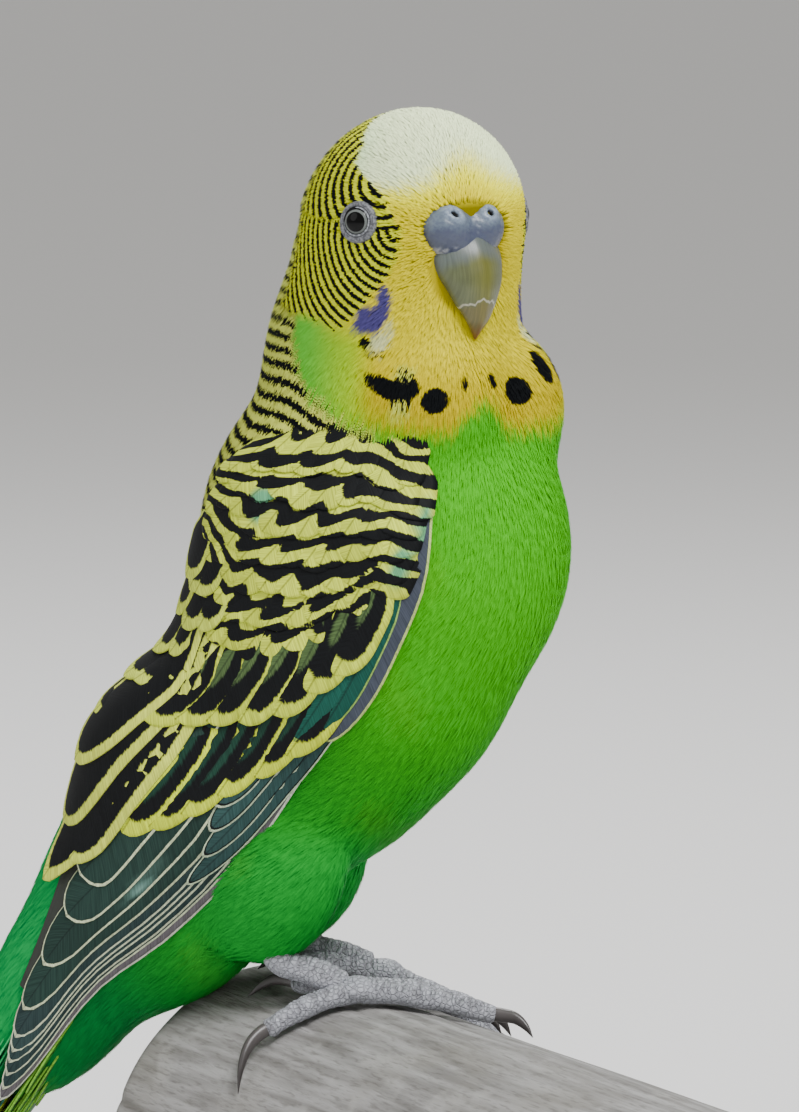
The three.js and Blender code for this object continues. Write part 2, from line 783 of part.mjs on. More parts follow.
function tailVanes(grown) {
  const long = tailPairs.flatMap(({ tip, aside }, pair) => [1, -1].map((side) => tailVane({
    from: tailRootPlace,
    to: tip,
    asideFrom: tailGather * aside * side,
    asideTo: aside * side,
    backFrom: tailBack[0] - tailRootStep * pair,
    backTo: tailBack[1] - tailStep * pair - tailSideStep * side,
    halfWidth: tailHalfWidth,
  }, grown)));
  const coverts = Object.values(tailCovertRise).flatMap(([backFrom, backTo]) => [1, -1].flatMap((side) => (
    tailCovertTips.map(([tip, aside]) => tailVane({
      from: tailCovertRoot,
      to: tip,
      asideFrom: tailCovertGather * aside * side,
      asideTo: aside * side,
      backFrom,
      backTo,
      halfWidth: tailCovertHalfWidth,
    }, grown))
  )));
  return [...long, ...coverts];
}

function tail(grown = 0) {
  const root = fleshBetween(flesh, tailStart, tailRootEnd, 5, 24, grown);
  return largestPiece(joinAll([root, ...tailVanes(grown)]));
}

// Stand

function standBase() {
  const profile = [
    [0, 0], [baseRadius, 0], [baseRadius, baseThickness - baseChamfer],
    [baseRadius - baseChamfer, baseThickness], [0, baseThickness],
  ];
  const geometry = new THREE.LatheGeometry(profile.map(([r, y]) => new THREE.Vector2(r, y)), 48);
  geometry.rotateX(Math.PI / 2);
  return solidFromGeometry(geometry);
}

function standRod(along) {
  const x = along * Math.cos(radians(perchHeading));
  const y = along * Math.sin(radians(perchHeading));
  const bottom = baseThickness + gap;
  const top = perchTopHeight - perchRadius;
  const geometry = new THREE.CylinderGeometry(rodRadius, rodRadius, top - bottom, 20);
  geometry.rotateX(Math.PI / 2);
  geometry.translate(x, y, (top + bottom) / 2);
  const branch = perch(gap).translate([birdPlace.x, birdPlace.y, birdPlace.z]);
  return largestPiece(solidFromGeometry(geometry).subtract(branch));
}

// Where the top of the branch under the feet stands, seen from the middle of the base
const birdPlace = vector(
  -baseAlongPerch * Math.cos(radians(perchHeading)),
  -baseAlongPerch * Math.sin(radians(perchHeading)),
  perchTopHeight,
);

// Finishes
const finish = (colour, roughness, metalness = 0) => new THREE.MeshStandardMaterial({
  color: colour, roughness, metalness,
});
const crownYellow = finish(0xe8d84a, 0.85);
const bodyGreen = finish(0x35a834, 0.85);
const wingPattern = finish(0x8a9440, 0.8);
const tailBlue = finish(0x1f4a6a, 0.7);
const greySkin = finish(0x9a9aa2, 0.7);
const blueCere = finish(0x8f9fd0, 0.5);
const hornBill = finish(0xa8a068, 0.35);
const darkEye = finish(0x0c0c0e, 0.08);
const bark = finish(0x8a8279, 0.9);
const standGrey = finish(0xd8d6d2, 0.5);
const rodSteel = finish(0xb8b8b8, 0.3, 1);

function named(name, solid, material) {
  const mesh = new THREE.Mesh(geometryOf(solid), material);
  mesh.name = name;
  return mesh;
}

const bird = new THREE.Group();
bird.position.copy(birdPlace);
bird.add(named('head', head(), crownYellow));
bird.add(named('cere', cere(), blueCere));
const upperBill = bill(upperBillPath).subtract(cereLobes(gap));
bird.add(named('beak_upper', largestPiece(upperBill), hornBill));
const lowerBill = bill(lowerBillPath).subtract(bill(upperBillPath, gap));
bird.add(named('beak_lower', largestPiece(lowerBill), hornBill));
bird.add(named('neck', neck(), bodyGreen));
bird.add(named('torso', torso(), bodyGreen));
bird.add(named('tail', tail(), tailBlue));
for (const [name, shape] of Object.entries(feet)) {
  const { side } = shape;
  bird.add(named(`eye_${name}`, eyeBall(side), darkEye));
  bird.add(named(`wing_${name}`, wing(side), wingPattern));
  bird.add(named(`thigh_${name}`, thigh(side).subtract(tarsus(side, gap)), bodyGreen));
  bird.add(named(`leg_${name}`, largestPiece(tarsus(side).subtract(torso(gap))), greySkin));
  bird.add(named(`foot_${name}`, foot(name), greySkin));
}
bird.add(named('perch', perch(), bark));

const group = new THREE.Group();
group.add(bird);
group.add(named('stand_base', standBase(), standGrey));
group.add(named('stand_rod_1', standRod(-rodSpacing / 2), rodSteel));
group.add(named('stand_rod_2', standRod(rodSpacing / 2), rodSteel));

export default group;
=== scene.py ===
import math

import bpy
import numpy as np
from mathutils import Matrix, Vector


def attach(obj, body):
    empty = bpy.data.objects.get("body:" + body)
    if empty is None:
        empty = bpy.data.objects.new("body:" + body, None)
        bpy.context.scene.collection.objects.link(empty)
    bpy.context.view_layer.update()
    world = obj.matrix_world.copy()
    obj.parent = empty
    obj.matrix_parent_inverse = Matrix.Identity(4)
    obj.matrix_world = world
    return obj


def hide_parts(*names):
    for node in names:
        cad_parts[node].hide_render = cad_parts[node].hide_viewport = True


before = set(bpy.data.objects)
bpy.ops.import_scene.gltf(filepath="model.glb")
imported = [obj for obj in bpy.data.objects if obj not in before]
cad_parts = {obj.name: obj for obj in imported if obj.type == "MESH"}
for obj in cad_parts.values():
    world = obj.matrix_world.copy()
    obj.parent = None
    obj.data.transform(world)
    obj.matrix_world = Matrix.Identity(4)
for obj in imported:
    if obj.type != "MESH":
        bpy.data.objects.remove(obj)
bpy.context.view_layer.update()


def mm(*values):
    """Millimetres as metres: one number stays a number, more become an array."""
    return values[0] * 0.001 if len(values) == 1 else np.array(values, dtype=float) * 0.001


# Where the branch's top under the feet stands, from the middle of the base
PERCH_HEADING = math.radians(-40)
BASE_ALONG_PERCH = mm(24)
PERCH_TOP_HEIGHT = mm(78)
BIRD_AT = np.array([
    -BASE_ALONG_PERCH * math.cos(PERCH_HEADING),
    -BASE_ALONG_PERCH * math.sin(PERCH_HEADING),
    PERCH_TOP_HEIGHT,
])

# The camera's place: degrees round the object and over the horizon, and metres away
CAMERA_AZIMUTH = 10
CAMERA_ELEVATION = 6
CAMERA_DISTANCE = 1.0
CAMERA_LENS = 252.5
CAMERA_SENSOR = 36
CAMERA_CLIP = (0.05, 200)
CAMERA_TARGET = BIRD_AT + mm(7.747, 0, 56.07)

# Lamps: degrees round the object and over the horizon, metres away, metres across, and watts
LAMPS = (
    ("key", 40, 52, 1.1, 0.5, 17),
    ("fill", -50, 25, 1.3, 1.0, 3.5),
    ("rim", 190, 50, 1.2, 0.7, 10),
)
WORLD_COLOUR = (1.0, 0.985, 0.95, 1)
WORLD_STRENGTH = 0.55
FLOOR_REACH = 40.0

# How softly the rounded masses of the body run into one another
BLEND = mm(2)

# The head's middle, and how far it is turned to the bird's right
HEAD_MIDDLE = mm(8.5, 0, 97.5)
HEAD_TURN = math.radians(-45)

# The middle line of the bird, from the crown down to the tip of the tail
SPINE = mm(
    (7.6, 0, 113.3), (8.5, 0, 97.5), (8.6, 0, 81), (6.5, 0, 64), (0, 0, 45), (-10.5, 0, 27),
    (-22, 0, 13), (-33, 0, 2), (-44.5, 0, -15.5), (-57, 0, -35.5), (-70, 0, -55.5),
)

# Rounded masses: middle, then half-depth, half-width and half-length, lean forward and turn
MASSES = (
    ((8.5, 0, 97.5), (13.7, 13.3, 14.1), 0, -45),
    ((11.4, -1.8, 100.8), (11.8, 12, 12.1), 0, -45),
    ((9.3, -0.8, 88.5), (12.6, 13.6, 11), 0, -45),
    ((12, -6.2, 77), (10.6, 9, 10), 0, -30),
    ((18.9, 2.4, 75.5), (9.8, 9.2, 10), 0, -30),
    ((3.4, 0, 80), (13, 12.4, 17), 0, 0),
    ((-1, 0, 61), (16.6, 14.8, 20), 20, 0),
    ((10.4, 0, 56.5), (19.4, 16.8, 21.5), 10, 0),
    ((1, 0, 43), (21.4, 16.4, 20.5), 27, 0),
    ((1.8, 0, 27.6), (9.4, 11, 11.5), 40, 0),
    ((-15.9, 0, 26.6), (17.8, 14.4, 20), 38, 0),
    ((-23.8, 0, 12), (14.7, 10.9, 16), 42, 0),
    ((-34.7, 0, 1.2), (10, 7.5, 19), 33, 0),
)
THIGHS = (
    ((-6, -7.5, 14), (7.3, 6, 10.2), 25, 0),
    ((-6, 7.5, 14), (7.3, 6, 10.2), 25, 0),
)
# What the folded wings lie over behind the body
SLEEVE = (((-45, 0, -14), (4.6, 6.2, 30), 32, 0),)

# Seeds of what is drawn at random
SEEDS = {"coat": 5, "wing": 21, "tail": 8, "lids": 3, "branch": 12}

# The coat's depth over the skin, and how far its tips stand over or under the solids' surface
COAT_DEPTH = mm(0.75)
COAT_PROUD = mm(0.15)

# Eyes: the ball, where it looks out, and its ring of bare skin
EYE_RADIUS = mm(2.45)
EYE_FROM_FORWARD = math.radians(60)
EYE_RISE = mm(2.3)
EYE_PROUD = mm(0.75)
LID_OUTER = mm(2.6)


# Small helpers

def srgb(red, green, blue):
    """A colour on the 0 to 255 scale of a screen, as the linear numbers that shaders use."""
    share = np.array([red, green, blue]) / 255
    return np.where(share <= 0.04045, share / 12.92, ((share + 0.055) / 1.055) ** 2.4)


def smooth(low, high, value):
    """0 below low, 1 above high and a soft step between; low may be the higher one."""
    share = np.clip((np.asarray(value) - low) / (high - low), 0, 1)
    return share * share * (3 - 2 * share)


def unit(vectors):
    return vectors / np.maximum(np.linalg.norm(vectors, axis=-1, keepdims=True), 1e-12)


def mix(first, second, share):
    """Blends rows of colours by a share for each row."""
    return first + (second - first) * np.asarray(share)[..., None]


def curve(knots, place):
    """Points and slopes of a soft curve through knots, at places counted from the first knot."""
    last = len(knots) - 1
    extended = np.vstack([2 * knots[0] - knots[1], knots, 2 * knots[last] - knots[last - 1]])
    start = np.clip(np.floor(place), 0, last - 1).astype(int)
    t = (place - start)[:, None]
    a, b, c, d = (extended[start + step] for step in range(4))
    slope_in, slope_out = (c - a) / 2, (d - b) / 2
    at = (b * (2 * t ** 3 - 3 * t ** 2 + 1) + slope_in * (t ** 3 - 2 * t ** 2 + t)
          + c * (3 * t ** 2 - 2 * t ** 3) + slope_out * (t ** 3 - t ** 2))
    slope = (b * (6 * t ** 2 - 6 * t) + slope_in * (3 * t ** 2 - 4 * t + 1)
             + c * (6 * t - 6 * t ** 2) + slope_out * (3 * t ** 2 - 2 * t))
    return at, slope


def smooth_line(stations, count):
    """Evenly spread rows on a soft curve through rows of stations."""
    stations = np.array(stations, dtype=float)
    return curve(stations, np.linspace(0, len(stations) - 1, count))[0]


def circle(sides):
    """Angles of points evenly round a circle."""
    return np.arange(sides) * 2 * math.pi / sides


# Directions of the bird, and of its turned head
LEFT = np.array([0.0, 1.0, 0.0])
UPWARD = np.array([0.0, 0.0, 1.0])
FORWARD = np.array([math.cos(HEAD_TURN), math.sin(HEAD_TURN), 0.0])
LEFTWARD = np.array([-FORWARD[1], FORWARD[0], 0.0])


# The body as one soft blend of its masses

def prepared(masses):
    ready = []
    for at, size, lean, turn in masses:
        a, b = math.radians(lean), math.radians(turn)
        leaned = np.array([[math.cos(a), 0, math.sin(a)], [0, 1, 0], [-math.sin(a), 0, math.cos(a)]])
        turned = np.array([[math.cos(b), -math.sin(b), 0], [math.sin(b), math.cos(b), 0], [0, 0, 1]])
        ready.append((mm(*at), mm(*size), turned @ leaned))
    return ready


BODY = prepared(MASSES + THIGHS)
BED = prepared(MASSES + SLEEVE)


def field(points, masses, blend=BLEND):
    """Roughly how far each point lies outside the surface, below zero inside it."""
    total = np.zeros(len(points))
    for at, size, turned in masses:
        scaled = ((points - at) @ turned) / size
        reach = np.sqrt(np.einsum("ij,ij->i", scaled, scaled))
        scaled /= size
        steep = np.sqrt(np.einsum("ij,ij->i", scaled, scaled))
        total += np.exp(np.clip(-reach * (reach - 1) / np.maximum(steep, 1e-9) / blend, -60, 60))
    return -blend * np.log(np.maximum(total, 1e-30))


def outward(points, masses, blend=BLEND):
    """The surface's outward direction at each point, and the field's value there."""
    here = field(points, masses, blend)
    step = mm(0.05)
    slope = np.stack([field(points + step * axis, masses, blend) - here for axis in np.eye(3)], axis=1)
    return unit(slope), here


def spine_at(place):
    """Place on the middle line: its point, its direction, the back's direction, and its pace."""
    at, along = curve(SPINE, np.atleast_1d(np.asarray(place, dtype=float)))
    pace = np.linalg.norm(along, axis=1)
    along = along / pace[:, None]
    return at, along, np.cross(LEFT, along), pace


def rays(row, angle):
    """Rays that sweep the body. Rows under 1 fan out over the crown, later ones follow the spine.
    Angles go from the left side over the back."""
    row, angle = np.broadcast_arrays(np.asarray(row, float), np.asarray(angle, float))
    at, along, back, _ = spine_at(np.maximum(row, 1).ravel())
    turn = np.radians(angle.ravel())[:, None]
    level = LEFT * np.cos(turn) + back * np.sin(turn)
    polar = (np.minimum(row.ravel(), 1) * math.pi / 2)[:, None]
    return at, level * np.sin(polar) - along * np.cos(polar)


def reach_along(start, direction, masses, level=0.0, blend=BLEND):
    """How far the surface, or a level over it, lies from points inside it."""
    inside = np.zeros(len(start))
    outside = np.full(len(start), mm(60))
    for _ in range(20):
        middle = (inside + outside) / 2
        within = field(start + direction * middle[:, None], masses, blend) < level
        inside = np.where(within, middle, inside)
        outside = np.where(within, outside, middle)
    return inside


def in_head(ahead, aside, rise):
    return HEAD_MIDDLE + FORWARD * ahead + LEFTWARD * aside + UPWARD * rise


def head_places(points):
    """Millimetres ahead, aside and above the head's middle."""
    off = (points - HEAD_MIDDLE) * 1000
    return off @ FORWARD, off @ LEFTWARD, off[:, 2]


def eye_place(side):
    turn = EYE_FROM_FORWARD * side
    look = FORWARD * math.cos(turn) + LEFTWARD * math.sin(turn)
    start = HEAD_MIDDLE + UPWARD * EYE_RISE
    surface = start + look * reach_along(start[None], look[None], BODY)[0]
    return look, surface, surface + look * (EYE_PROUD - EYE_RADIUS)


# The wing's bed as a table of reaches, read by place and angle

BED_ROWS = np.linspace(2.2, 8.6, 129)
BED_ANGLES = np.linspace(-100, 280, 191)


def bed_table():
    rows, angles = np.meshgrid(BED_ROWS, BED_ANGLES, indexing="ij")
    start, direction = rays(rows, angles)
    return reach_along(start, direction, BED).reshape(rows.shape)


BED_REACH = bed_table()


def over_bed(place, angle, height, side):
    """A point over the wing's bed. Angles run from the bird's side towards its back."""
    place, angle, height = (np.asarray(v, float) for v in np.broadcast_arrays(place, angle, height))
    shape = place.shape
    place, angle, height = place.ravel(), angle.ravel(), height.ravel()
    around = angle if side > 0 else 180 - angle
    row = (place - BED_ROWS[0]) / (BED_ROWS[1] - BED_ROWS[0])
    column = (around - BED_ANGLES[0]) / (BED_ANGLES[1] - BED_ANGLES[0])
    r = np.clip(np.floor(row).astype(int), 0, len(BED_ROWS) - 2)
    c = np.clip(np.floor(column).astype(int), 0, len(BED_ANGLES) - 2)
    fr, fc = np.clip(row - r, 0, 1), np.clip(column - c, 0, 1)
    reach = (BED_REACH[r, c] * (1 - fr) * (1 - fc) + BED_REACH[r + 1, c] * fr * (1 - fc)
             + BED_REACH[r, c + 1] * (1 - fr) * fc + BED_REACH[r + 1, c + 1] * fr * fc)
    start, direction = rays(place, around)
    return (start + direction * (reach + height)[:, None]).reshape(shape + (3,))


# Meshes

def new_mesh(name, points, triangles, attributes=None, patch=None, facing=None):
    """A mesh whose points are measured from the branch's top under the feet. Attributes are one
    number or one colour for each point; patch gives each point its place on the map that colours
    are kept on, and facing the way it catches light."""
    mesh = bpy.data.meshes.new(name)
    mesh.vertices.add(len(points))
    mesh.vertices.foreach_set("co", (points + BIRD_AT).astype(np.float32).ravel())
    triangles = np.asarray(triangles, dtype=np.int32)
    mesh.loops.add(triangles.size)
    mesh.polygons.add(len(triangles))
    mesh.polygons.foreach_set("loop_start", np.arange(0, triangles.size, 3, dtype=np.int32))
    mesh.loops.foreach_set("vertex_index", triangles.ravel())
    mesh.update(calc_edges=True)
    for key, values in (attributes or {}).items():
        if values.ndim == 2:
            layer = mesh.attributes.new(key, "FLOAT_COLOR", "POINT")
            full = np.ones((len(points), 4), dtype=np.float32)
            full[:, :3] = values
            layer.data.foreach_set("color", full.ravel())
        else:
            layer = mesh.attributes.new(key, "FLOAT", "POINT")
            layer.data.foreach_set("value", values.astype(np.float32))
    if patch is not None:
        layer = mesh.uv_layers.new(name="OFBake")
        layer.data.foreach_set("uv", patch[triangles.ravel()].astype(np.float32).ravel())
    mesh.validate()
    mesh.polygons.foreach_set("use_smooth", np.ones(len(mesh.polygons), dtype=bool))
    if facing is not None:
        mesh.normals_split_custom_set_from_vertices(facing)
    made = bpy.data.objects.new(name, mesh)
    bpy.context.scene.collection.objects.link(made)
    return made


def piece(made, material, slot, *nodes):
    """Gives a piece its finish, hangs it under the root's empty and hides the solids that it stands for.
    """
    made.data.materials.append(material)
    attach(made, "root")
    if nodes:
        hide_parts(*nodes)
    return made


def grid_triangles(rows, columns):
    """Triangles of a grid of points whose columns close into a ring."""
    r, c = np.meshgrid(np.arange(rows - 1), np.arange(columns), indexing="ij")
    a = r * columns + c
    b = r * columns + (c + 1) % columns
    return np.stack([a, b, b + columns, a, b + columns, a + columns], axis=-1).reshape(-1, 3)


def outward_faces(points, triangles):
    """The same triangles, turned so that the body they close in has a volume above zero."""
    a, b, c = (points[triangles[:, k]] for k in range(3))
    volume = np.einsum("ij,ij->i", a, np.cross(b, c)).sum()
    return triangles if volume > 0 else triangles[:, ::-1]


def closed_tube(rings, start, end):
    """A tube of rings with a point at each end, as points and triangles facing outward."""
    rows, columns = rings.shape[:2]
    points = np.vstack([rings.reshape(-1, 3), start, end])
    first, last = rows * columns, rows * columns + 1
    ring = np.arange(columns)
    following = (ring + 1) % columns
    base = (rows - 1) * columns
    caps = np.vstack([
        np.stack([following, ring, np.full(columns, first)], axis=1),
        np.stack([base + ring, base + following, np.full(columns, last)], axis=1),
    ])
    return points, outward_faces(points, np.vstack([grid_triangles(rows, columns), caps]))


class Bundle:
    """Gathers closed bodies into one piece, with what colours them and their part of the map."""

    def __init__(self):
        self.points, self.triangles, self.columns, self.patches = [], [], [], []
        self.total = 0

    def add(self, points, triangles, columns, patch=None):
        self.points.append(points)
        self.triangles.append(triangles + self.total)
        self.columns.append(columns)
        self.patches.append(patch)
        self.total += len(points)

    def mesh(self, name):
        keys = self.columns[0].keys()
        attributes = {key: np.concatenate([part[key] for part in self.columns]) for key in keys}
        patch = None if self.patches[0] is None else np.vstack(self.patches)
        return new_mesh(name, np.vstack(self.points), np.vstack(self.triangles), attributes, patch)


# Shader helpers

class Shader:
    """A material whose nodes are added one by one."""

    def __init__(self, name, roughness=0.6, **constants):
        self.material = bpy.data.materials.new(name)
        self.material.use_nodes = True
        self.tree = self.material.node_tree
        self.surface = self.tree.nodes["Principled BSDF"]
        self.surface.inputs["Roughness"].default_value = roughness
        for key, value in constants.items():
            self.surface.inputs[key.replace("_", " ")].default_value = value

    def node(self, kind, **settings):
        made = self.tree.nodes.new(kind)
        for key, value in settings.items():
            setattr(made, key, value)
        return made

    def link(self, source, target):
        if isinstance(source, (int, float)):
            target.default_value = source
        elif isinstance(source, (tuple, list, np.ndarray)):
            target.default_value = (*source, 1.0)
        else:
            self.tree.links.new(source, target)

    def attribute(self, name, output="Fac"):
        return self.node("ShaderNodeAttribute", attribute_name=name).outputs[output]

    def math(self, operation, first, second=0.0):
        made = self.node("ShaderNodeMath", operation=operation)
        self.link(first, made.inputs[0])
        self.link(second, made.inputs[1])
        return made.outputs[0]

    def times(self, first, second):
        return self.math("MULTIPLY", first, second)

    def plus(self, first, second):
        return self.math("ADD", first, second)

    def minus(self, first, second):
        return self.math("SUBTRACT", first, second)

    def step(self, low, high, value):
        """A soft step of a value from low to high."""
        made = self.node("ShaderNodeMapRange", interpolation_type="SMOOTHSTEP")
        self.link(value, made.inputs["Value"])
        self.link(low, made.inputs["From Min"])
        self.link(high, made.inputs["From Max"])
        return made.outputs["Result"]

    def colour_mix(self, share, first, second, blend="MIX"):
        made = self.node("ShaderNodeMix", data_type="RGBA", blend_type=blend)
        self.link(share, made.inputs["Factor"])
        self.link(first, made.inputs[6])
        self.link(second, made.inputs[7])
        return made.outputs[2]

    def combine(self, x, y, z=0.0):
        made = self.node("ShaderNodeCombineXYZ")
        for value, socket in zip((x, y, z), made.inputs):
            self.link(value, socket)
        return made.outputs[0]

    def noise(self, vector, scale, detail=2.0):
        made = self.node("ShaderNodeTexNoise")
        self.link(vector, made.inputs["Vector"])
        made.inputs["Scale"].default_value = scale
        made.inputs["Detail"].default_value = detail
        return made.outputs["Fac"]

    def streaks(self, stretched, scale=1.0, detail=2.0):
        """Noise over two or three values, each with how fast the noise runs along it."""
        return self.noise(self.combine(*(self.times(*pair) for pair in stretched)), scale, detail)

    def place(self):
        """The piece's own coordinates, in metres."""
        return self.node("ShaderNodeTexCoord").outputs["Object"]

    def bump(self, height, distance, strength=1.0):
        made = self.node("ShaderNodeBump")
        made.inputs["Distance"].default_value = distance
        made.inputs["Strength"].default_value = strength
        self.link(height, made.inputs["Height"])
        self.tree.links.new(made.outputs[0], self.surface.inputs["Normal"])

    def colour(self, source):
        self.link(source, self.surface.inputs["Base Color"])


# Camera, light and floor

def aim(name, data, azimuth, elevation, distance):
    """Sets a camera or a lamp round the target, looking at it."""
    made = bpy.data.objects.new(name, data)
    a, e = math.radians(azimuth), math.radians(elevation)
    back = Vector((math.sin(a) * math.cos(e), -math.cos(a) * math.cos(e), math.sin(e)))
    made.location = Vector(CAMERA_TARGET) + back * distance
    made.rotation_mode = "QUATERNION"
    made.rotation_quaternion = (-back).to_track_quat("-Z", "Y")
    bpy.context.scene.collection.objects.link(made)
    return made


def make_camera():
    data = bpy.data.cameras.new("camera")
    data.lens = CAMERA_LENS
    data.sensor_width = CAMERA_SENSOR
    data.clip_start, data.clip_end = CAMERA_CLIP
    camera = aim("camera", data, CAMERA_AZIMUTH, CAMERA_ELEVATION, CAMERA_DISTANCE)
    bpy.context.scene.camera = camera


def make_lights():
    for name, azimuth, elevation, distance, size, power in LAMPS:
        data = bpy.data.lights.new(name, "AREA")
        data.shape = "DISK"
        data.size = size
        data.energy = power
        aim(name, data, azimuth, elevation, distance)
    world = bpy.data.worlds.new("studio")
    world.use_nodes = True
    background = world.node_tree.nodes["Background"]
    background.inputs["Color"].default_value = WORLD_COLOUR
    background.inputs["Strength"].default_value = WORLD_STRENGTH
    bpy.context.scene.world = world


def make_floor():
    mesh = bpy.data.meshes.new("floor")
    corners = [(x * FLOOR_REACH, y * FLOOR_REACH, 0) for x, y in ((-1, -1), (1, -1), (1, 1), (-1, 1))]
    mesh.from_pydata(corners, [], [(0, 1, 2, 3)])
    floor = bpy.data.objects.new("floor", mesh)
    bpy.context.scene.collection.objects.link(floor)
    pale = Shader("floor_pale", roughness=0.9)
    pale.colour((0.8, 0.8, 0.8))
    mesh.materials.append(pale.material)


# Colours of the coat
WHITE = srgb(238, 255, 200)
MINT = srgb(206, 246, 186)
FOREHEAD = srgb(246, 240, 0)
YELLOW = srgb(216, 201, 0)
GOLD = srgb(186, 164, 0)
EAR_YELLOW = srgb(206, 214, 30)
NAPE_YELLOW = srgb(202, 212, 88)
NECK_GREEN = srgb(92, 188, 50)
LIME = srgb(160, 206, 0)
BREAST_GREEN = srgb(68, 178, 16)
BELLY_GREEN = srgb(22, 136, 34)
THIGH_GREEN = srgb(16, 146, 46)
VENT_GREEN = srgb(0, 104, 48)
RUMP_GREEN = srgb(0, 150, 72)
VIOLET = srgb(72, 66, 120)
PALE_BLUE = srgb(200, 224, 206)
NEAR_BLACK = srgb(14, 16, 18)

# The line where cap and face meet the barred side of the head: rise, then millimetres ahead
BAR_LINE = np.array([
    (-12.5, 4.2), (-9.9, 7.2), (-7.5, 8.6), (-4.7, 10.4), (-1.9, 11.5), (1.3, 12.0), (3.8, 10.6),
    (5, 10.1), (6.1, 9.1), (8.1, 6.6), (9.4, 4.6), (11.5, 3.9), (13.4, 2.6), (15.5, 0.5),
])
# The lower edge of the yellow mask: degrees from forward, then millimetres of rise
MASK_LINE = np.array([
    (0, -20.6), (6, -21.6), (15, -24.4), (37, -24.8), (66, -23.4), (87, -19.2), (97, -13), (105, -9),
])
# Where the bars on the ear give way to the neck below: degrees from forward, then rise
EAR_LINE = np.array([(58, -9.4), (70, -11.4), (83, -10.3), (92, -9.8), (99, -10)])
# Bars counted down the spine over the nape and the back
NAPE_BARS = np.array([
    (0, -3.1), (0.3, 0), (1, 7.3), (1.5, 12.2), (2, 16.4), (2.5, 19.9), (3, 23), (3.5, 26), (4, 28.8),
    (5, 34),
])
# How far forward the nape's bars reach on the left, away from which the head turns: row, then angle
NAPE_LEFT = np.array([(0.1, -60), (0.5, -31), (1.5, -28), (2.2, -20), (3, -12)])
# Middles of the two fans of bars, by the eye: millimetres ahead, aside and up, then their spacing
FANS = (((12.2, 10.2, 1.2), 1.06), ((9.7, 10.5, 7.8), 1.42))

# Marks on the throat and the cheeks: middle ahead, aside and up from the head's middle, then
# half-width, half-height and tilt in degrees. Those of the cheeks are on both sides.
SPOTS = (
    ((16.6, -6.8, -20.1), 1.85, 1.65, 15), ((16.8, 6.8, -19.4), 2.5, 1.8, 0),
    ((14.2, 12.4, -16.8), 1.5, 2.1, 8), ((10.0, 14.8, -17.2), 1.9, 1.9, 0),
    ((9.2, -12.6, -17.7), 0.6, 1.3, 20), ((17.8, -2.9, -18.1), 0.5, 1.0, -15),
    ((18.0, 1.8, -17.9), 0.8, 1.1, 25),
)
# A crescent is an oval less the same oval raised by the veil
CRESCENTS = (((12.6, -10.5, -18.2), 3.3, 2.1, -12),)
CRESCENT_VEIL = 2.7
# Ovals with upright stripes, so many degrees round the head apart
STRIPE_EVERY = 2.5
STRIPED = (((13.3, -9.5, -17.0), 1.6, 0.9, -12), ((13.1, -10.3, -21.2), 1.6, 1.0, 0))
CHEEK_VIOLET = (
    ((11.0, 11.3, -7.9), 0.9, 2.1, 0), ((9.4, 12.6, -10.2), 1.9, 1.7, 12),
    ((10.4, 11.8, -9.6), 1.0, 1.3, 0), ((8.1, 13.4, -11.0), 0.8, 0.9, 0),
)
CHEEK_PALE = (((11.3, 10.9, -11.6), 0.7, 1.7, 0), ((10.3, 11.7, -13.0), 1.3, 1.4, 0))
CHEEK_BLACK = (((8.8, 12.9, -13.0), 1.0, 0.75, 25), ((9.9, 12.0, -14.5), 1.7, 0.35, -12))


def marks_at(ahead, aside, rise, marks, both_sides=False):
    """How far each point lies outside the nearest of some oval marks, in millimetres."""
    nearest = np.full(len(ahead), 9.0)
    if both_sides:
        aside = np.abs(aside)
    for (mark_ahead, mark_aside, mark_rise), wide, tall, tilt in marks:
        out = math.hypot(mark_ahead, mark_aside)
        level = ((ahead - mark_ahead) * -mark_aside + (aside - mark_aside) * mark_ahead) / out
        depth = ((ahead - mark_ahead) * mark_ahead + (aside - mark_aside) * mark_aside) / out
        a = math.radians(tilt)
        x = level * math.cos(a) + (rise - mark_rise) * math.sin(a)
        y = (rise - mark_rise) * math.cos(a) - level * math.sin(a)
        far = (np.hypot(x / wide, y / tall) - 1) * min(wide, tall)
        nearest = np.minimum(nearest, far + np.maximum(-depth - 4, 0))
    return nearest


def on_line(line, place):
    """The second column of a line of pairs, where its first column passes a place."""
    return np.interp(place, line[:, 0], line[:, 1])


def cere_oval(aside, rise):
    """How far a place on the face lies from the cere's middle: 1 on its edge."""
    return np.hypot((aside + 0.6) / 5.6, (rise - 1.2) / 3.3)


def body_green(points, row, angle, jitter):
    """Breast, belly and vent, then the thighs and the rump."""
    place_x, low = points[:, 0] * 1000, points[:, 2] * 1000
    green = mix(BREAST_GREEN[None], BELLY_GREEN[None], smooth(3.3, 5.2, row))
    green = mix(green, VENT_GREEN[None], 0.85 * smooth(6.0, 7.2, row))
    green = mix(green, THIGH_GREEN[None], smooth(24, 16, low) * smooth(-22, -12, place_x) * (row > 4))
    mottle = np.sin(place_x * 0.31 + low * 0.12) * np.sin(low * 0.17 + 1.2)
    green = mix(green, LIME[None], 0.05 * smooth(0.55, 0.8, mottle + 0.3 * jitter) * (row > 3.2))
    on_back = smooth(0.1, 0.55, np.sin(np.radians(angle)))
    return mix(green, RUMP_GREEN[None], smooth(4.3, 4.9, row) * on_back)


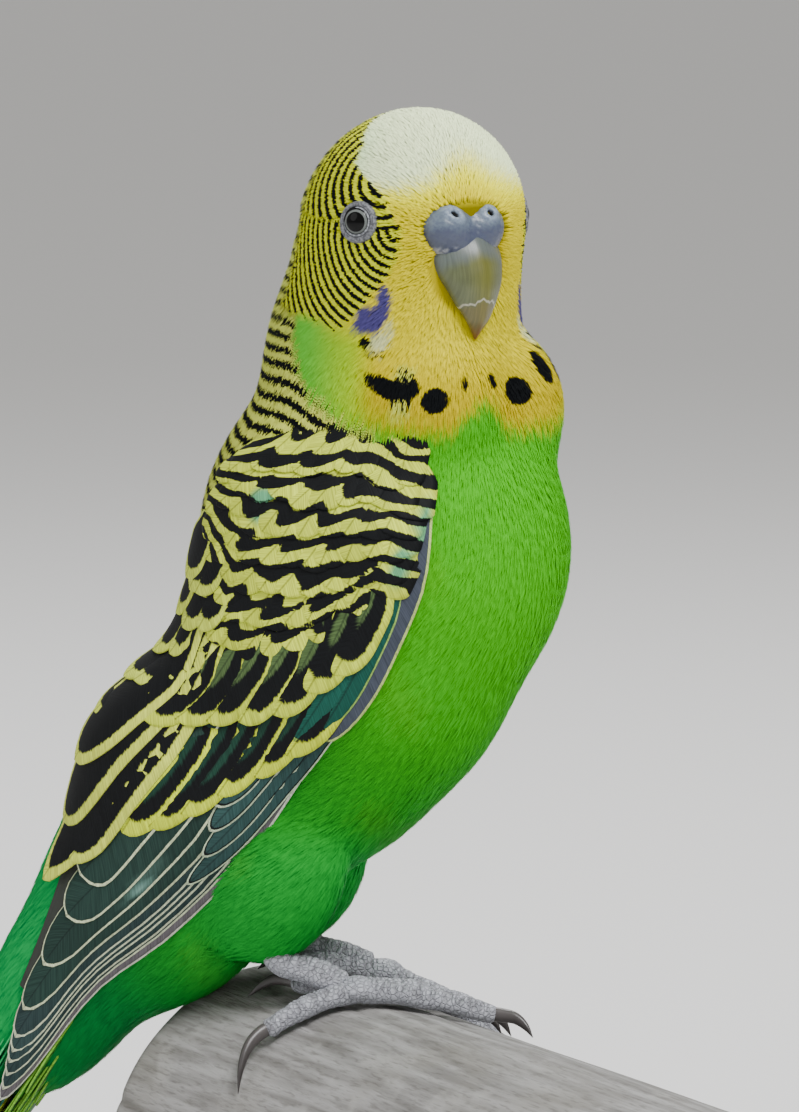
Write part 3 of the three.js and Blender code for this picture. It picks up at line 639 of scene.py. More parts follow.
def mask_yellow(ahead, aside, rise, turn, mask_edge):
    """The yellow of the face, deeper on the throat and green on the sides of the neck."""
    yellow = mix(YELLOW[None], GOLD[None], smooth(-12, -22, rise) * 0.8)
    yellow = mix(yellow, GOLD[None], smooth(7.5, 4.5, np.hypot(aside, rise + 3)) * 0.6 * (ahead > 6))
    yellow = mix(yellow, LIME[None], smooth(48, 66, turn) * smooth(-9, -14, rise) * 0.9)
    yellow = mix(yellow, LIME[None], 0.5 * smooth(4, 0, rise - mask_edge) * smooth(20, 50, turn))
    return mix(yellow, NECK_GREEN[None], smooth(60, 90, turn) * smooth(-6, -10, rise))


def with_cap(tint, ahead, rise, side_turn, jitter):
    """Adds the cap: white over yellow above the bill and the eye."""
    edge = 6.0 + 2.6 * np.exp(-((side_turn + 4) / 17) ** 2) + 1.2 * jitter
    fade = 1.8 + 3.0 * np.exp(-((side_turn - 8) / 30) ** 2)
    in_front = ahead > -6
    tint = mix(tint, FOREHEAD[None], smooth(edge - 3.2, edge, rise) * in_front)
    whites = mix(WHITE[None], MINT[None], smooth(8, 2, ahead) * smooth(16, 8, rise))
    return mix(tint, whites, smooth(edge - 1.0, edge + fade, rise) * in_front)


def bars_over(points, row, angle, turn, mask_edge, jitter):
    """Shares of the ear's and the nape's bars, and the count of bars up to each point."""
    ahead, aside, rise = head_places(points)
    across = np.abs(aside)
    swing = np.radians(angle)
    ahead_edge = on_line(BAR_LINE, rise) + 0.5 * jitter
    ahead_edge = ahead_edge - np.where(rise > 12, (12 - across).clip(0) * 0.12, 0)
    on_head = smooth(0.4, -0.4, ahead - ahead_edge)
    ear_edge = on_line(EAR_LINE, turn) + 0.6 * jitter
    ear = on_head * smooth(-0.7, 0.7, rise - ear_edge) * (turn < 112 + 8 * jitter)

    # The nape: behind the ear and below the mask, further forward on the left
    behind = (turn > 97 + 4 * jitter) | (rise < np.where(turn < 97, mask_edge - 0.4, 99))
    nape = behind * smooth(-0.05, 0.12, np.sin(swing) - 0.02)
    wrapped = np.mod(angle + 180, 360) - 180
    left_edge = on_line(NAPE_LEFT, row) + 9 * jitter
    nape = np.where(np.abs(wrapped) < 90, smooth(-3, 3, wrapped - left_edge), nape) * (row < 4.55)
    nape = np.where((rise > -10) & (turn <= 104), 0, nape) * np.where(row < 0.6, on_head, 1)

    fans = []
    for (fan_ahead, fan_aside, fan_rise), spacing in FANS:
        far = np.sqrt((ahead - fan_ahead) ** 2 + (across - fan_aside) ** 2 + (rise - fan_rise) ** 2)
        fans.append(far / spacing)
    upper = rise > 1.7 + 0.024 * (turn - 57) + 0.5 * jitter
    ear_phase = np.where(upper, fans[1], fans[0]) + 0.14 * jitter
    wave = 0.22 * np.sin(swing * 9) * smooth(1.6, 2.4, row)
    nape_phase = on_line(NAPE_BARS, row) - 0.12 * (points[:, 0] * 1000 + 8) + 0.26 * jitter + wave
    return ear, nape, np.where(ear >= nape, ear_phase, nape_phase)


def with_marks(tint, ahead, aside, rise, near_throat, jitter):
    """Adds the throat's and the cheeks' marks. Also how far each point lies outside the black
    spots, and a share that clears the bars where other marks are."""
    spot = marks_at(ahead, aside, rise, SPOTS) + 0.25 * jitter
    crescent = marks_at(ahead, aside, rise, CRESCENTS)
    veil = marks_at(ahead, aside, rise - CRESCENT_VEIL, CRESCENTS)
    spot = np.minimum(spot, np.maximum(crescent, -veil) + 0.25 * jitter)
    striped = marks_at(ahead, aside, rise, STRIPED) + 0.3 * jitter
    side_turn = np.degrees(np.arctan2(aside, ahead))
    stripe = np.mod(side_turn / STRIPE_EVERY, 1) < 0.45
    spot = np.where((striped < 0) & stripe, -0.5, np.where(striped < 0, np.maximum(spot, 0.4), spot))
    tint = mix(tint, NAPE_YELLOW[None], smooth(0.1, -0.2, striped) * near_throat)
    violet = marks_at(ahead, aside, rise, CHEEK_VIOLET, True) + 0.35 * jitter
    pale = marks_at(ahead, aside, rise, CHEEK_PALE, True) + 0.6 * jitter
    dark = marks_at(ahead, aside, rise, CHEEK_BLACK, True) + 0.3 * jitter
    tint = mix(tint, PALE_BLUE[None], smooth(0.2, -0.4, pale) * near_throat * 0.5)
    tint = mix(tint, VIOLET[None], smooth(0.1, -0.1, violet) * near_throat)
    clear = smooth(-0.1, 0.1, np.minimum(np.minimum(violet, pale), striped))
    return tint, np.minimum(spot, dark), clear


def markings(points, row, angle, draw):
    """Colour, bars and spots of the coat where its points lie on the body."""
    ahead, aside, rise = head_places(points)
    turn = np.degrees(np.arctan2(np.abs(aside), ahead))
    side_turn = np.degrees(np.arctan2(aside, ahead))
    jitter = draw - 0.5
    mask_edge = on_line(MASK_LINE, turn) + 1.6 * jitter
    over_mask = smooth(mask_edge - 0.9, mask_edge + 1.3, rise) * (row < 3.3)
    tint = mix(body_green(points, row, angle, jitter),
               mask_yellow(ahead, aside, rise, turn, mask_edge), over_mask)
    tint = with_cap(tint, ahead, rise, side_turn, jitter)

    ear, nape, phase = bars_over(points, row, angle, turn, mask_edge, jitter)
    between = np.where((ear >= nape)[:, None], EAR_YELLOW[None], NAPE_YELLOW[None])
    barred = np.maximum(ear, nape)
    tint = mix(tint, between, barred)

    near_throat = (row < 3.4) & (rise < -2)
    tint, spot, clear = with_marks(tint, ahead, aside, rise, near_throat, jitter)
    # Tufts round the top of the cere are darkened: painted shadow at the feather bases, and the dark
    # bristles in the crease there
    bristles_and_shade = smooth(1.16, 1.0, cere_oval(aside, rise)) * (ahead > 9) * smooth(-1.5, 0.5, rise)
    tint = tint * (1 - 0.65 * bristles_and_shade[:, None])
    return {"tint": tint, "phase": phase, "barred": barred * clear,
            "spot": np.where(near_throat, spot, 9.0)}


# The skin

SKIN_ROWS = np.concatenate([np.linspace(0.05, 1, 26), np.linspace(1, 7.9, 150)[1:]])
SKIN_COLUMNS = 128
MAP_ROWS = 8.0


def coat_map(row, angle):
    """Where a point of the skin lies on the unwrapped skin."""
    return np.stack([np.mod(angle, 360) / 360, np.asarray(row) / MAP_ROWS], axis=-1)


def skin_grid(level):
    angles = np.arange(SKIN_COLUMNS) * 360 / SKIN_COLUMNS
    rows, angles = np.meshgrid(SKIN_ROWS, angles, indexing="ij")
    start, direction = rays(rows, angles)
    reach = reach_along(start, direction, BODY, level)
    return rows, angles, (start + direction * reach[:, None]).reshape(rows.shape + (3,))


def make_skin(rows, angles, grid, material):
    crown_start, crown_way = rays(np.array([0.0]), np.array([0.0]))
    crown = crown_start + crown_way * reach_along(crown_start, crown_way, BODY, -COAT_DEPTH)[:, None]
    end = grid[-1].mean(axis=0, keepdims=True)
    points, triangles = closed_tube(grid, crown, end)
    row = np.concatenate([rows.ravel(), [0.0, SKIN_ROWS[-1]]])
    angle = np.concatenate([angles.ravel(), [0.0, 0.0]])
    attributes = markings(points, row, angle, np.full(len(points), 0.5))
    # The skin is darkened: painted shade beneath the tufts
    attributes["tint"] = attributes["tint"] * 0.85
    for key in ("along", "across", "draw"):
        attributes[key] = np.zeros(len(points))
    made = new_mesh("skin", points, triangles, attributes, coat_map(row, angle))
    piece(made, material, "body_feathers", "head", "neck", "torso", "thigh_left", "thigh_right")


# The coat: small closed vanes that lie along the body

# How far along a tuft each ring of three points is, and how wide it is there
TUFT_RINGS = ((0.0, 0.6), (0.55, 1.0))
TUFT_RIDGE = 0.09
# How far a tuft's edges and its tip turn its light away from the skin's
EDGE_TURN = 0.3
TIP_TURN = 0.12
PALE_TUFTS = 0.08


def tuft_size(row, rise, ahead):
    """Length and width of tufts: smallest round the bill, long on the belly."""
    face = smooth(1.0, 2.6, row)
    length = 1.7 + 2.2 * face + 1.8 * smooth(2.8, 4.4, row) + 2.2 * smooth(5.6, 7.4, row)
    width = 0.29 + 0.12 * face + 0.1 * smooth(2.8, 4.0, row) + 0.3 * smooth(5.8, 7.4, row)
    near_bill = smooth(9, 3, np.hypot(ahead - 13, rise + 1)) * (row < 2)
    return mm(1) * (length - 0.6 * near_bill), mm(1) * width


def coat_density(row, angle):
    """How many tufts grow on a square millimetre, before the bare parts are left out."""
    per_area = 18 - 5.5 * smooth(1.8, 2.6, row) - 4.2 * smooth(2.8, 3.8, row) - 2.6 * smooth(5.6, 7, row)
    side = np.where(np.cos(np.radians(angle)) > 0, angle, 180 - angle)
    side = (side + 180) % 360 - 180
    front = np.interp(row, [2.5, 2.8, 3.4, 3.8, 4.4, 5, 6, 7.8], [25, -16, -19, -17, -12, -4, 2, 10])
    back = np.interp(row, [2.5, 2.9, 3.2, 4, 5, 6, 7], [25, 40, 48, 58, 62, 55, 40])
    hidden = (row > 2.7) & (row < 7.2) & (side > front) & (side < back)
    return np.where(hidden, 0, per_area)


def flow_over(points, row, angle):
    """The lie of the coat, before it is laid on the surface."""
    _, along, back, _ = spine_at(np.maximum(row, 1))
    ahead, aside, _ = head_places(points)
    turn = np.degrees(np.arctan2(np.abs(aside), ahead))
    from_bill = unit(points - in_head(mm(13), 0, mm(-0.5)))
    down = 0.15 + 0.75 * smooth(60, 150, turn)
    head_flow = unit(from_bill - UPWARD * down[:, None])
    swing = np.radians(angle)[:, None]
    around = back * np.cos(swing) - LEFT * np.sin(swing)
    backward = around * np.sign(np.cos(swing))
    slant = 0.55 * smooth(2.8, 3.4, row) * smooth(6.6, 5.0, row) * np.abs(np.cos(swing[:, 0]))
    slant = slant * smooth(0.3, -0.1, np.sin(swing[:, 0]))
    body_flow = along + backward * slant[:, None]
    share = smooth(1.75, 2.6, row)[:, None]
    return unit(head_flow * (1 - share) + body_flow * share)


# Two strides that spread points evenly over a square
EVEN_STRIDES = (0.7548776662466927, 0.5698402909980532)


def coat_roots(rows, angles, grid, draws):
    """Evenly spread roots, as rows and angles on the skin, denser where the density is higher."""
    following = np.roll(grid, -1, axis=1)
    wide = np.linalg.norm(following - grid, axis=2)
    tall = np.linalg.norm(np.diff(grid, axis=0), axis=2)
    area = tall * (wide[1:] + wide[:-1]) / 2 * 1e6
    middle_row = (rows[1:] + rows[:-1]) / 2
    dense = coat_density(middle_row.ravel(), angles[1:].ravel())
    weight = area * dense.reshape(area.shape)
    count = int(weight.sum())
    per_row = weight.sum(axis=1)
    edges = np.concatenate([[0], np.cumsum(per_row)]) / per_row.sum()
    step = np.arange(count)
    first, second = (np.mod(0.5 + step * stride, 1) for stride in EVEN_STRIDES)
    row = np.interp(first, edges, SKIN_ROWS)
    at_row = np.clip(np.searchsorted(edges, first, side="right") - 1, 0, len(per_row) - 1)
    across = np.cumsum(weight, axis=1)
    across = np.concatenate([np.zeros((len(across), 1)), across], axis=1)
    across /= np.maximum(across[:, -1:], 1e-12)
    angle = np.zeros(count)
    columns = np.arange(SKIN_COLUMNS + 1) * 360 / SKIN_COLUMNS
    for index in np.unique(at_row):
        chosen = at_row == index
        angle[chosen] = np.interp(second[chosen], across[index], columns)
    row = row + draws.uniform(-0.006, 0.006, count)
    angle = angle + draws.uniform(-0.6, 0.6, count)
    return np.clip(row, 0.03, SKIN_ROWS[-1]), angle


def bare(points):
    """True where no feather grows: the eyes' rings, the cere and the bill."""
    ahead, aside, rise = head_places(points)
    clear = np.zeros(len(points), dtype=bool)
    for side in (1, -1):
        look, surface, _ = eye_place(side)
        off = points - surface
        clear |= np.linalg.norm(off - (off @ look)[:, None] * look, axis=1) < LID_OUTER - mm(0.2)
    bill_off = np.hypot((aside + 0.3) / 4.9, (rise + 3.6) / 4.9)
    return clear | ((ahead > 9) & ((cere_oval(aside, rise) < 1) | (bill_off < 1)))


def lay_tufts(row, angle, draws):
    """Closed three-sided tufts from the skin up to the coat's surface, with what colours them."""
    start, direction = rays(row, angle)
    roots = start + direction * reach_along(start, direction, BODY, -COAT_DEPTH)[:, None]
    keep = ~bare(roots)
    roots, row, angle = roots[keep], row[keep], angle[keep]
    count = len(roots)
    normal, _ = outward(roots, BODY)
    flow = flow_over(roots, row, angle)
    flow = unit(flow - normal * np.einsum("ij,ij->i", flow, normal)[:, None])
    flow = unit(flow + np.cross(normal, flow) * draws.normal(0, 0.08, count)[:, None])
    ahead, _, rise = head_places(roots)
    length, width = tuft_size(row, rise, ahead)
    length = length * draws.uniform(0.8, 1.2, count)
    width = width * draws.uniform(0.8, 1.25, count)
    draw = draws.uniform(0, 1, count)
    proud = COAT_PROUD * draws.uniform(-0.8, 0.8, count)
    pace = spine_at(np.maximum(row, 1))[3]
    made = []
    for share, wide in (*TUFT_RINGS, (1.0, 0.0)):
        middle = roots + flow * (length * share)[:, None]
        facing, here = outward(middle, BODY)
        level = -COAT_DEPTH + (COAT_DEPTH + proud) * share ** 0.7
        middle = middle + facing * (level - here)[:, None]
        marked = markings(middle, row + share * length / pace * (row > 1.6), angle, draw)
        side = unit(np.cross(facing, flow))
        corners = ((-1.0, 0.0), (1.0, 0.0), (0.0, TUFT_RIDGE)) if wide else ((0.0, 0.0),)
        for across, ridge in corners:
            half = (width * wide / 2)[:, None]
            point = middle + side * half * across + facing * half * 2 * ridge
            turned = facing + side * (EDGE_TURN * across) + flow * (TIP_TURN * share)
            made.append({**marked, "point": point, "facing": unit(turned), "draw": draw,
                         "along": np.full(count, share), "across": np.full(count, across)})
    columns = {key: np.stack([part[key] for part in made], axis=1) for key in made[0]}
    # Now and then a tuft in the bars stays pale, and each tuft has a shade of its own
    columns["barred"][draws.uniform(0, 1, count) < PALE_TUFTS] *= 0.55
    columns["tint"] *= draws.uniform(0.92, 1.06, count)[:, None, None]
    return columns, row, angle


def tuft_triangles():
    """Triangles of one tuft: two rings of three points and a tip."""
    made = [(0, 2, 1)]
    for k in range(3):
        following = (k + 1) % 3
        made += [(k, following, 3 + following), (k, 3 + following, 3 + k), (3 + k, 3 + following, 6)]
    return np.array(made)


TUFTS_IN_PIECE = 19000
# The size of a tuft's patch on the map
PATCH = 0.003


def make_coat(rows, angles, grid, material):
    draws = np.random.default_rng(SEEDS["coat"])
    row, angle = coat_roots(rows, angles, grid, draws)
    columns, row, angle = lay_tufts(row, angle, draws)
    order = np.argsort(row, kind="stable")
    one = tuft_triangles()
    corners = columns["along"].shape[1]
    for number, start in enumerate(range(0, len(order), TUFTS_IN_PIECE)):
        chosen = order[start:start + TUFTS_IN_PIECE]
        triangles = (one[None] + (np.arange(len(chosen)) * corners)[:, None, None]).reshape(-1, 3)
        picked = {key: values[chosen].reshape(-1, *values.shape[2:]) for key, values in columns.items()}
        home = coat_map(row[chosen], angle[chosen])[:, None]
        within = np.stack([columns["across"][chosen] / 2, columns["along"][chosen] - 0.5], axis=-1)
        patch = (home + PATCH * within).reshape(-1, 2)
        points, facing = picked.pop("point"), picked.pop("facing")
        slot = "head_feathers" if row[chosen].mean() < 2 else "body_feathers"
        made = new_mesh(f"coat_{number + 1}", points, triangles, picked, patch, facing)
        piece(made, material, slot)


def coat_material():
    s = Shader("coat", roughness=0.65, Specular_IOR_Level=0.04)
    tint = s.attribute("tint", "Color")
    draw = s.attribute("draw")
    along = s.attribute("along")
    across = s.attribute("across")
    streaks = s.streaks(((across, 1.6), (along, 0.7), (draw, 40.0)), 2.2, 3.0)
    wave = s.math("ABSOLUTE", s.minus(s.math("FRACT", s.attribute("phase")), 0.5))
    duty = s.times(s.attribute("barred"), 0.25)
    ragged = s.times(s.minus(streaks, 0.5), 0.16)
    off = s.plus(s.minus(wave, duty), ragged)
    bar = s.step(0.035, -0.035, off)
    bar = s.times(bar, s.step(0.15, 0.45, s.attribute("barred")))
    spot = s.step(0.12, -0.12, s.plus(s.attribute("spot"), ragged))
    dark = s.math("MAXIMUM", bar, spot)
    lit = s.colour_mix(s.step(0.2, 0.8, streaks), (0.88, 0.88, 0.88), (1.07, 1.07, 1.07))
    # Each tuft is darker towards its root: painted shade where the tufts overlap one another
    root_shade = s.colour_mix(s.step(0.0, 0.7, along), (0.82, 0.82, 0.82), (1.03, 1.03, 1.03))
    body = s.colour_mix(1.0, tint, s.colour_mix(1.0, lit, root_shade, "MULTIPLY"), "MULTIPLY")
    s.colour(s.colour_mix(dark, body, NEAR_BLACK))
    s.bump(streaks, mm(0.03), 0.35)
    return s.material


# Wings: vanes laid over a rounded pad on the body's side

WING_FRONT = ((2.5, -5), (2.72, -16), (2.9, -27), (3.2, -31), (3.5, -31), (4, -26), (4.5, -22), (5, -15),
              (5.6, -11), (6.9, -14), (7.8, -5))
WING_BACK = ((2.5, 20), (2.72, 32), (3, 50), (3.5, 62), (4, 70), (5, 74), (6, 68), (7.2, 40), (8, 20))
PAD_DEPTH = ((2.45, -1.0), (2.72, 0.1), (3.1, 1.7), (4.4, 1.6), (5.2, 1.0), (6.5, 0.7), (8, 0.3))
# The body's rough radius under the wing, in millimetres
BED_RADIUS = ((3, 18), (5, 16), (6, 12), (7, 8), (8, 6))
WING_CELLS, TAIL_CELLS = 14, 8
VANE_ROWS = 17
VANE_COLUMNS = 9
VANE_THICKNESS = mm(0.22)
# Roughly how many millimetres one place along the wing and one degree across it are
MM_PER_PLACE, MM_PER_DEGREE = 17, 0.28

# What each kind of vane looks like: colour of its middle and of its rim, how wide the rim is at
# the front edge, the back edge and the tip in millimetres, how many rims deep the black goes
STYLES = {
    "primary": ((44, 62, 62), (214, 222, 190), 0.22, 0.10, 0.4, 1.0),
    "outer_primary": ((92, 88, 92), (214, 218, 200), 0.24, 0.10, 0.4, 1.0),
    "secondary": ((34, 56, 50), (214, 224, 184), 0.24, 0.12, 0.45, 1.0),
    "tertial": ((40, 34, 36), (204, 216, 84), 1.0, 0.5, 1.8, 9.0),
    "primary_covert": ((44, 72, 70), (196, 212, 180), 0.2, 0.16, 0.45, 1.9),
    "alula": ((66, 72, 84), (186, 204, 120), 0.28, 0.12, 0.4, 1.0),
    "teal_strip": ((20, 78, 66), (150, 190, 90), 0.2, 0.2, 0.5, 1.2),
    "greater": ((26, 58, 46), (204, 220, 50), 1.0, 0.5, 2.4, 2.3),
    "median": ((74, 96, 56), (200, 216, 64), 0.85, 0.65, 2.1, 2.9),
    "lesser": ((198, 212, 66), (198, 212, 66), 0.25, 0.15, 1.3, 2.5),
    "scapular": ((42, 36, 38), (196, 210, 78), 0.65, 0.5, 1.9, 9.0),
}

# Rows of vanes: style, count, line of roots, line of tips (place, angle), half-widths and lifts
WING_ROWS = (
    ("primary", 6, ((4.4, -17), (4.8, 0)), ((7.95, -4), (7.8, 4), (7.6, 13)), (2.6, 2.9), (0.1, 0.4)),
    ("secondary", 4, ((4.5, 4), (4.6, 30)), ((7.42, 19), (7.02, 25), (6.71, 30), (6.40, 37)), (3.1, 3.6),
     (0.3, 0.8)),
    ("tertial", 4, ((4.3, 40), (4.1, 54)), ((6.35, 46), (6.75, 55), (6.2, 64), (5.7, 70)), (3.4, 3.8),
     (0.5, 1.4)),
    ("primary_covert", 4, ((4.1, -21), (4.3, -4)), ((5.72, -9), (5.48, -4), (5.17, 5)), (1.7, 2.0),
     (0.4, 0.9)),
    ("alula", 1, ((2.85, -24),), ((4.43, -21.5),), (2.1, 2.1), (0.2, 0.7)),
    ("teal_strip", 2, ((3.2, -19), (3.3, -14)), ((4.42, -16), (4.5, -9)), (1.8, 2.0), (0.3, 0.9)),
    ("greater", 7, ((3.7, -12), (4.0, 8), (4.6, 40)),
     ((4.62, -10), (4.84, -3), (5.12, 7), (5.42, 18), (5.78, 29), (5.9, 46)), (3.0, 3.5), (0.3, 1.0)),
    ("median", 7, ((3.3, -13), (3.8, 8), (4.2, 40)),
     ((4.02, -10), (4.22, -4), (4.47, 5), (4.62, 18), (4.78, 36), (5.0, 50)), (2.9, 3.4), (0.4, 1.1)),
)
# Lesser coverts: rows of tips from the median ones up to the shoulder
LESSER_ROWS = 8
LESSER_LOW = (
    (3.74, -11), (3.95, -5), (4.16, 4), (4.34, 16), (4.46, 32), (4.5, 44), (4.2, 54), (3.9, 64),
)
LESSER_TOP = (
    (2.84, -16), (2.82, -6), (2.8, 6), (2.84, 20), (2.9, 33), (2.96, 46), (3.0, 56), (3.05, 64),
)
# Their half-widths from the front of the wing to the back, as (angle, millimetres)
LESSER_HALF = ((-18, 3.9), (-6, 3.5), (8, 2.6), (46, 2.5), (62, 2.1))
SCAPULAR_ROWS = (
    (4.05, 58, 70), (4.3, 50, 71), (4.6, 52, 73), (4.9, 57, 74), (5.25, 61, 75), (5.6, 65, 76),
)
# The pale green blotch on the closed flight feathers: its middle and its reach, as place and angle
BLOTCH = ((5.98, 9), (0.26, 3.6))
BLOTCH_COLOUR = srgb(130, 172, 160)
# Turquoise glints on the lesser coverts: their middles and their reach
GLINTS = (((3.2, 40), (0.16, 7)), ((3.02, -24), (0.2, 4)), ((3.3, -19), (0.16, 5)))
GLINT_COLOUR = srgb(20, 150, 128)


def along_line(line, count):
    """Evenly spread points on a line of pairs."""
    line = np.array(line, dtype=float)
    if len(line) == 1:
        return line
    gaps = np.hypot(np.diff(line[:, 0]) * MM_PER_PLACE, np.diff(line[:, 1]) * MM_PER_DEGREE)
    steps = np.concatenate([[0], np.cumsum(gaps)])
    where = np.linspace(0, steps[-1], count)
    return np.stack([np.interp(where, steps, line[:, k]) for k in range(2)], axis=1)


def profile(table, place):
    table = np.array(table, dtype=float)
    return np.interp(place, table[:, 0], table[:, 1])


def pad_height(place, angle):
    front, back = profile(WING_FRONT, place), profile(WING_BACK, place)
    share = np.clip((angle - front) / (back - front), 0.03, 0.97)
    return mm(1) * profile(PAD_DEPTH, place) * (0.2 + 0.8 * np.sqrt(np.sin(math.pi * share)))


def vane_parts(style, length, half, tip_round, draw):
    """A vane's own grid: how far along and across it each point is, and what colours it."""
    middle, rim_colour, front_rim, back_rim, tip_rim, black_to = STYLES[style]
    t = (1 - (1 - np.linspace(0, 1, VANE_ROWS)) ** 1.5)[:, None]
    a = np.linspace(-1, 1, VANE_COLUMNS)[None]
    near_tip = np.clip((t - (1 - tip_round)) / tip_round, 0, 0.9995)
    width = half * (0.45 + 0.55 * smooth(0, 0.4, t)) * np.sqrt(1 - near_tip ** 2)
    x = a * width
    tip_t = 1 - tip_round + tip_round * np.sqrt(1 - np.clip(np.abs(x) / half, 0, 1) ** 2)
    tip_far = np.maximum(length * (tip_t - t), 0) / tip_rim
    side_far = (width - np.abs(x)) / np.where(a < 0, front_rim, back_rim)
    rim = (np.maximum(tip_far, 1e-3) ** -3.0 + np.maximum(side_far, 1e-3) ** -3.0) ** (-1 / 3)
    t = np.broadcast_to(t, x.shape)
    columns = {
        "tint": np.broadcast_to(srgb(*middle), x.shape + (3,)),
        "rim_tint": np.broadcast_to(srgb(*rim_colour), x.shape + (3,)),
        "rim": np.minimum(rim, 30),
        "black_to": np.full(x.shape, black_to),
        "barb": t * length - 0.9 * np.abs(x),
        "shaft": np.abs(x),
        "draw": np.full(x.shape, draw),
    }
    return t, x, np.broadcast_to(a, x.shape), columns


class Vanes(Bundle):
    """A bundle of vanes, each with its own cell of a square map."""

    def __init__(self, cells_across):
        super().__init__()
        self.cells_across = cells_across

    def lay(self, top, bottom, columns, across, along):
        rings = np.concatenate([top, bottom[:, ::-1]], axis=1)
        points, triangles = closed_tube(rings, rings[:1].mean(axis=1), rings[-1:].mean(axis=1))
        both = {}
        for key, values in columns.items():
            joined = np.concatenate([values, values[:, ::-1]], axis=1)
            flat = joined.reshape(-1, *joined.shape[2:])
            both[key] = np.concatenate([flat, flat[:1], flat[-1:]])
        u = np.concatenate([across, across[:, ::-1]], axis=1).ravel() * 0.45 + 0.5
        v = np.concatenate([along, along[:, ::-1]], axis=1).ravel() * 0.9 + 0.05
        cell = np.stack([np.append(u, [0.5, 0.5]), np.append(v, [0.05, 0.95])], axis=1)
        corner = divmod(len(self.patches), self.cells_across)[::-1]
        self.add(points, triangles, both, (cell + corner) / self.cells_across)


def covert_stripes(place, angle):
    """Bands over the lesser coverts: above zero where pale, below it where black. At the front
    they run on as waves, further back each feather's band is a scallop of its own."""
    low, top = (np.interp(angle, *np.array(line).T[::-1]) for line in (LESSER_LOW, LESSER_TOP))
    row = (low - place) / (low - top) * (LESSER_ROWS - 1)
    cell = np.mod(angle / 16.5 + 0.5 * row + 0.16 * np.sin(row * 2.7), 1)
    scallop = 4 * cell * (1 - cell)
    apart = smooth(-3, 10, angle) * smooth(60, 46, angle)
    swing = np.radians(angle)
    wander = 0.12 * np.sin(swing * 5 + 2.3 * row) + 0.06 * np.sin(swing * 23 + 5 * row)
    wave = row + (0.08 + 0.3 * apart) * (scallop - 0.6) + wander
    share_black = -0.06 + 0.14 * (1 - apart) + 0.42 * apart * (scallop - 0.62)
    return np.cos(2 * math.pi * (wave - 0.2)) - share_black


def glow(place, angle, middle, reach):
    """A soft oval on the wing: 1 in its middle, fading over its reach."""
    return np.exp(-((place - middle[0]) / reach[0]) ** 2 - ((angle - middle[1]) / reach[1]) ** 2)


def lay_vane(vanes, style, root, tip, half, lifts, side, draws, tip_round=0.3, roll=0.09, extra=0.0):
    """Lays one vane over the wing's pad, its front edge standing a little proud."""
    halfway = (root[0] + tip[0]) / 2
    pace = float(spine_at(halfway)[3][0]) * 1000
    per_angle = math.radians(1) * profile(BED_RADIUS, halfway)
    run = np.array([(tip[0] - root[0]) * pace, (tip[1] - root[1]) * per_angle])
    length = float(np.hypot(*run))
    run = run / length
    t, x, a, columns = vane_parts(style, length, half, tip_round, draws.uniform(0, 1))
    bend = draws.uniform(-0.25, 0.25) * np.sin(math.pi * t) * min(length / 20, 1)
    shifted = x + bend
    place = root[0] + (tip[0] - root[0]) * t - run[1] * shifted / pace
    angle = root[1] + (tip[1] - root[1]) * t + run[0] * shifted / per_angle
    lift = lifts[0] + (lifts[1] - lifts[0]) * t + extra
    height = pad_height(place, angle) + mm(1) * (lift - roll * x - 0.18 * a ** 2)
    top = over_bed(place, angle, height, side)
    bottom = over_bed(place, angle, height - VANE_THICKNESS, side)
    columns["stripe"] = np.full(t.shape, 2.0)
    if style == "lesser":
        columns["stripe"] = covert_stripes(place, angle) + 0.5 * draws.uniform(-0.5, 0.5)
        columns["rim"] = np.full(t.shape, 9.0)
        columns["black_to"] = np.zeros(t.shape)
    columns["tint"] = columns["tint"] * draws.uniform(0.85, 1.12)
    columns["rim_tint"] = columns["rim_tint"] * draws.uniform(0.92, 1.06)
    if style in ("primary", "secondary"):
        share = glow(place, angle, *BLOTCH) * (0.8 + 0.3 * np.sin(x * 5 + draws.uniform(0, 6)))
        columns["tint"] = mix(columns["tint"], BLOTCH_COLOUR, smooth(0.25, 0.8, share))
    for middle, reach in GLINTS:
        share = smooth(0.3, 0.8, glow(place, angle, middle, reach) * draws.uniform(0.5, 1.2)) * 0.8
        if style == "lesser":
            columns["tint"] = mix(columns["tint"], GLINT_COLOUR, share)
            columns["rim_tint"] = mix(columns["rim_tint"], GLINT_COLOUR, share)
    vanes.lay(top, bottom, columns, a, t)


def lay_long_rows(vanes, side, draws):
    """Flight feathers and the larger coverts, row by row."""
    for style, count, roots, tips, halves, lifts in WING_ROWS:
        root_line, tip_line = along_line(roots, count), along_line(tips, count)
        flight = style in ("primary", "secondary")
        for index in range(count):
            share = index / max(count - 1, 1)
            half = halves[0] + (halves[1] - halves[0]) * share
            tip = tip_line[index] + draws.uniform(-1, 1, 2) * (0.03, 0.7)
            kind = "outer_primary" if style == "primary" and index == 0 else style
            lay_vane(vanes, kind, root_line[index], tip, half, lifts, side, draws,
                     tip_round=0.12 if flight else 0.32, extra=0.05 * index if flight else 0.0)


def lay_lesser_coverts(vanes, side, draws):
    low, top = np.array(LESSER_LOW), np.array(LESSER_TOP)
    for row in range(LESSER_ROWS):
        share = row / (LESSER_ROWS - 1)
        line = along_line(low + (top - low) * share, 2 * (11 - row // 3) + 1)[row % 2::2]
        for tip in line:
            tip = tip + draws.uniform(-1, 1, 2) * (0.035, 1.2)
            half = profile(LESSER_HALF, tip[1]) * draws.uniform(0.85, 1.2)
            root = tip - (0.42, 4 + 0.1 * tip[1] + draws.uniform(-3, 3))
            blunt = 0.14 * smooth(6, -8, tip[1])
            lay_vane(vanes, "lesser", root, tip, half, (0.1, 0.68 + 0.02 * row), side, draws,
                     tip_round=draws.uniform(0.3, 0.42) - blunt, roll=0.05)


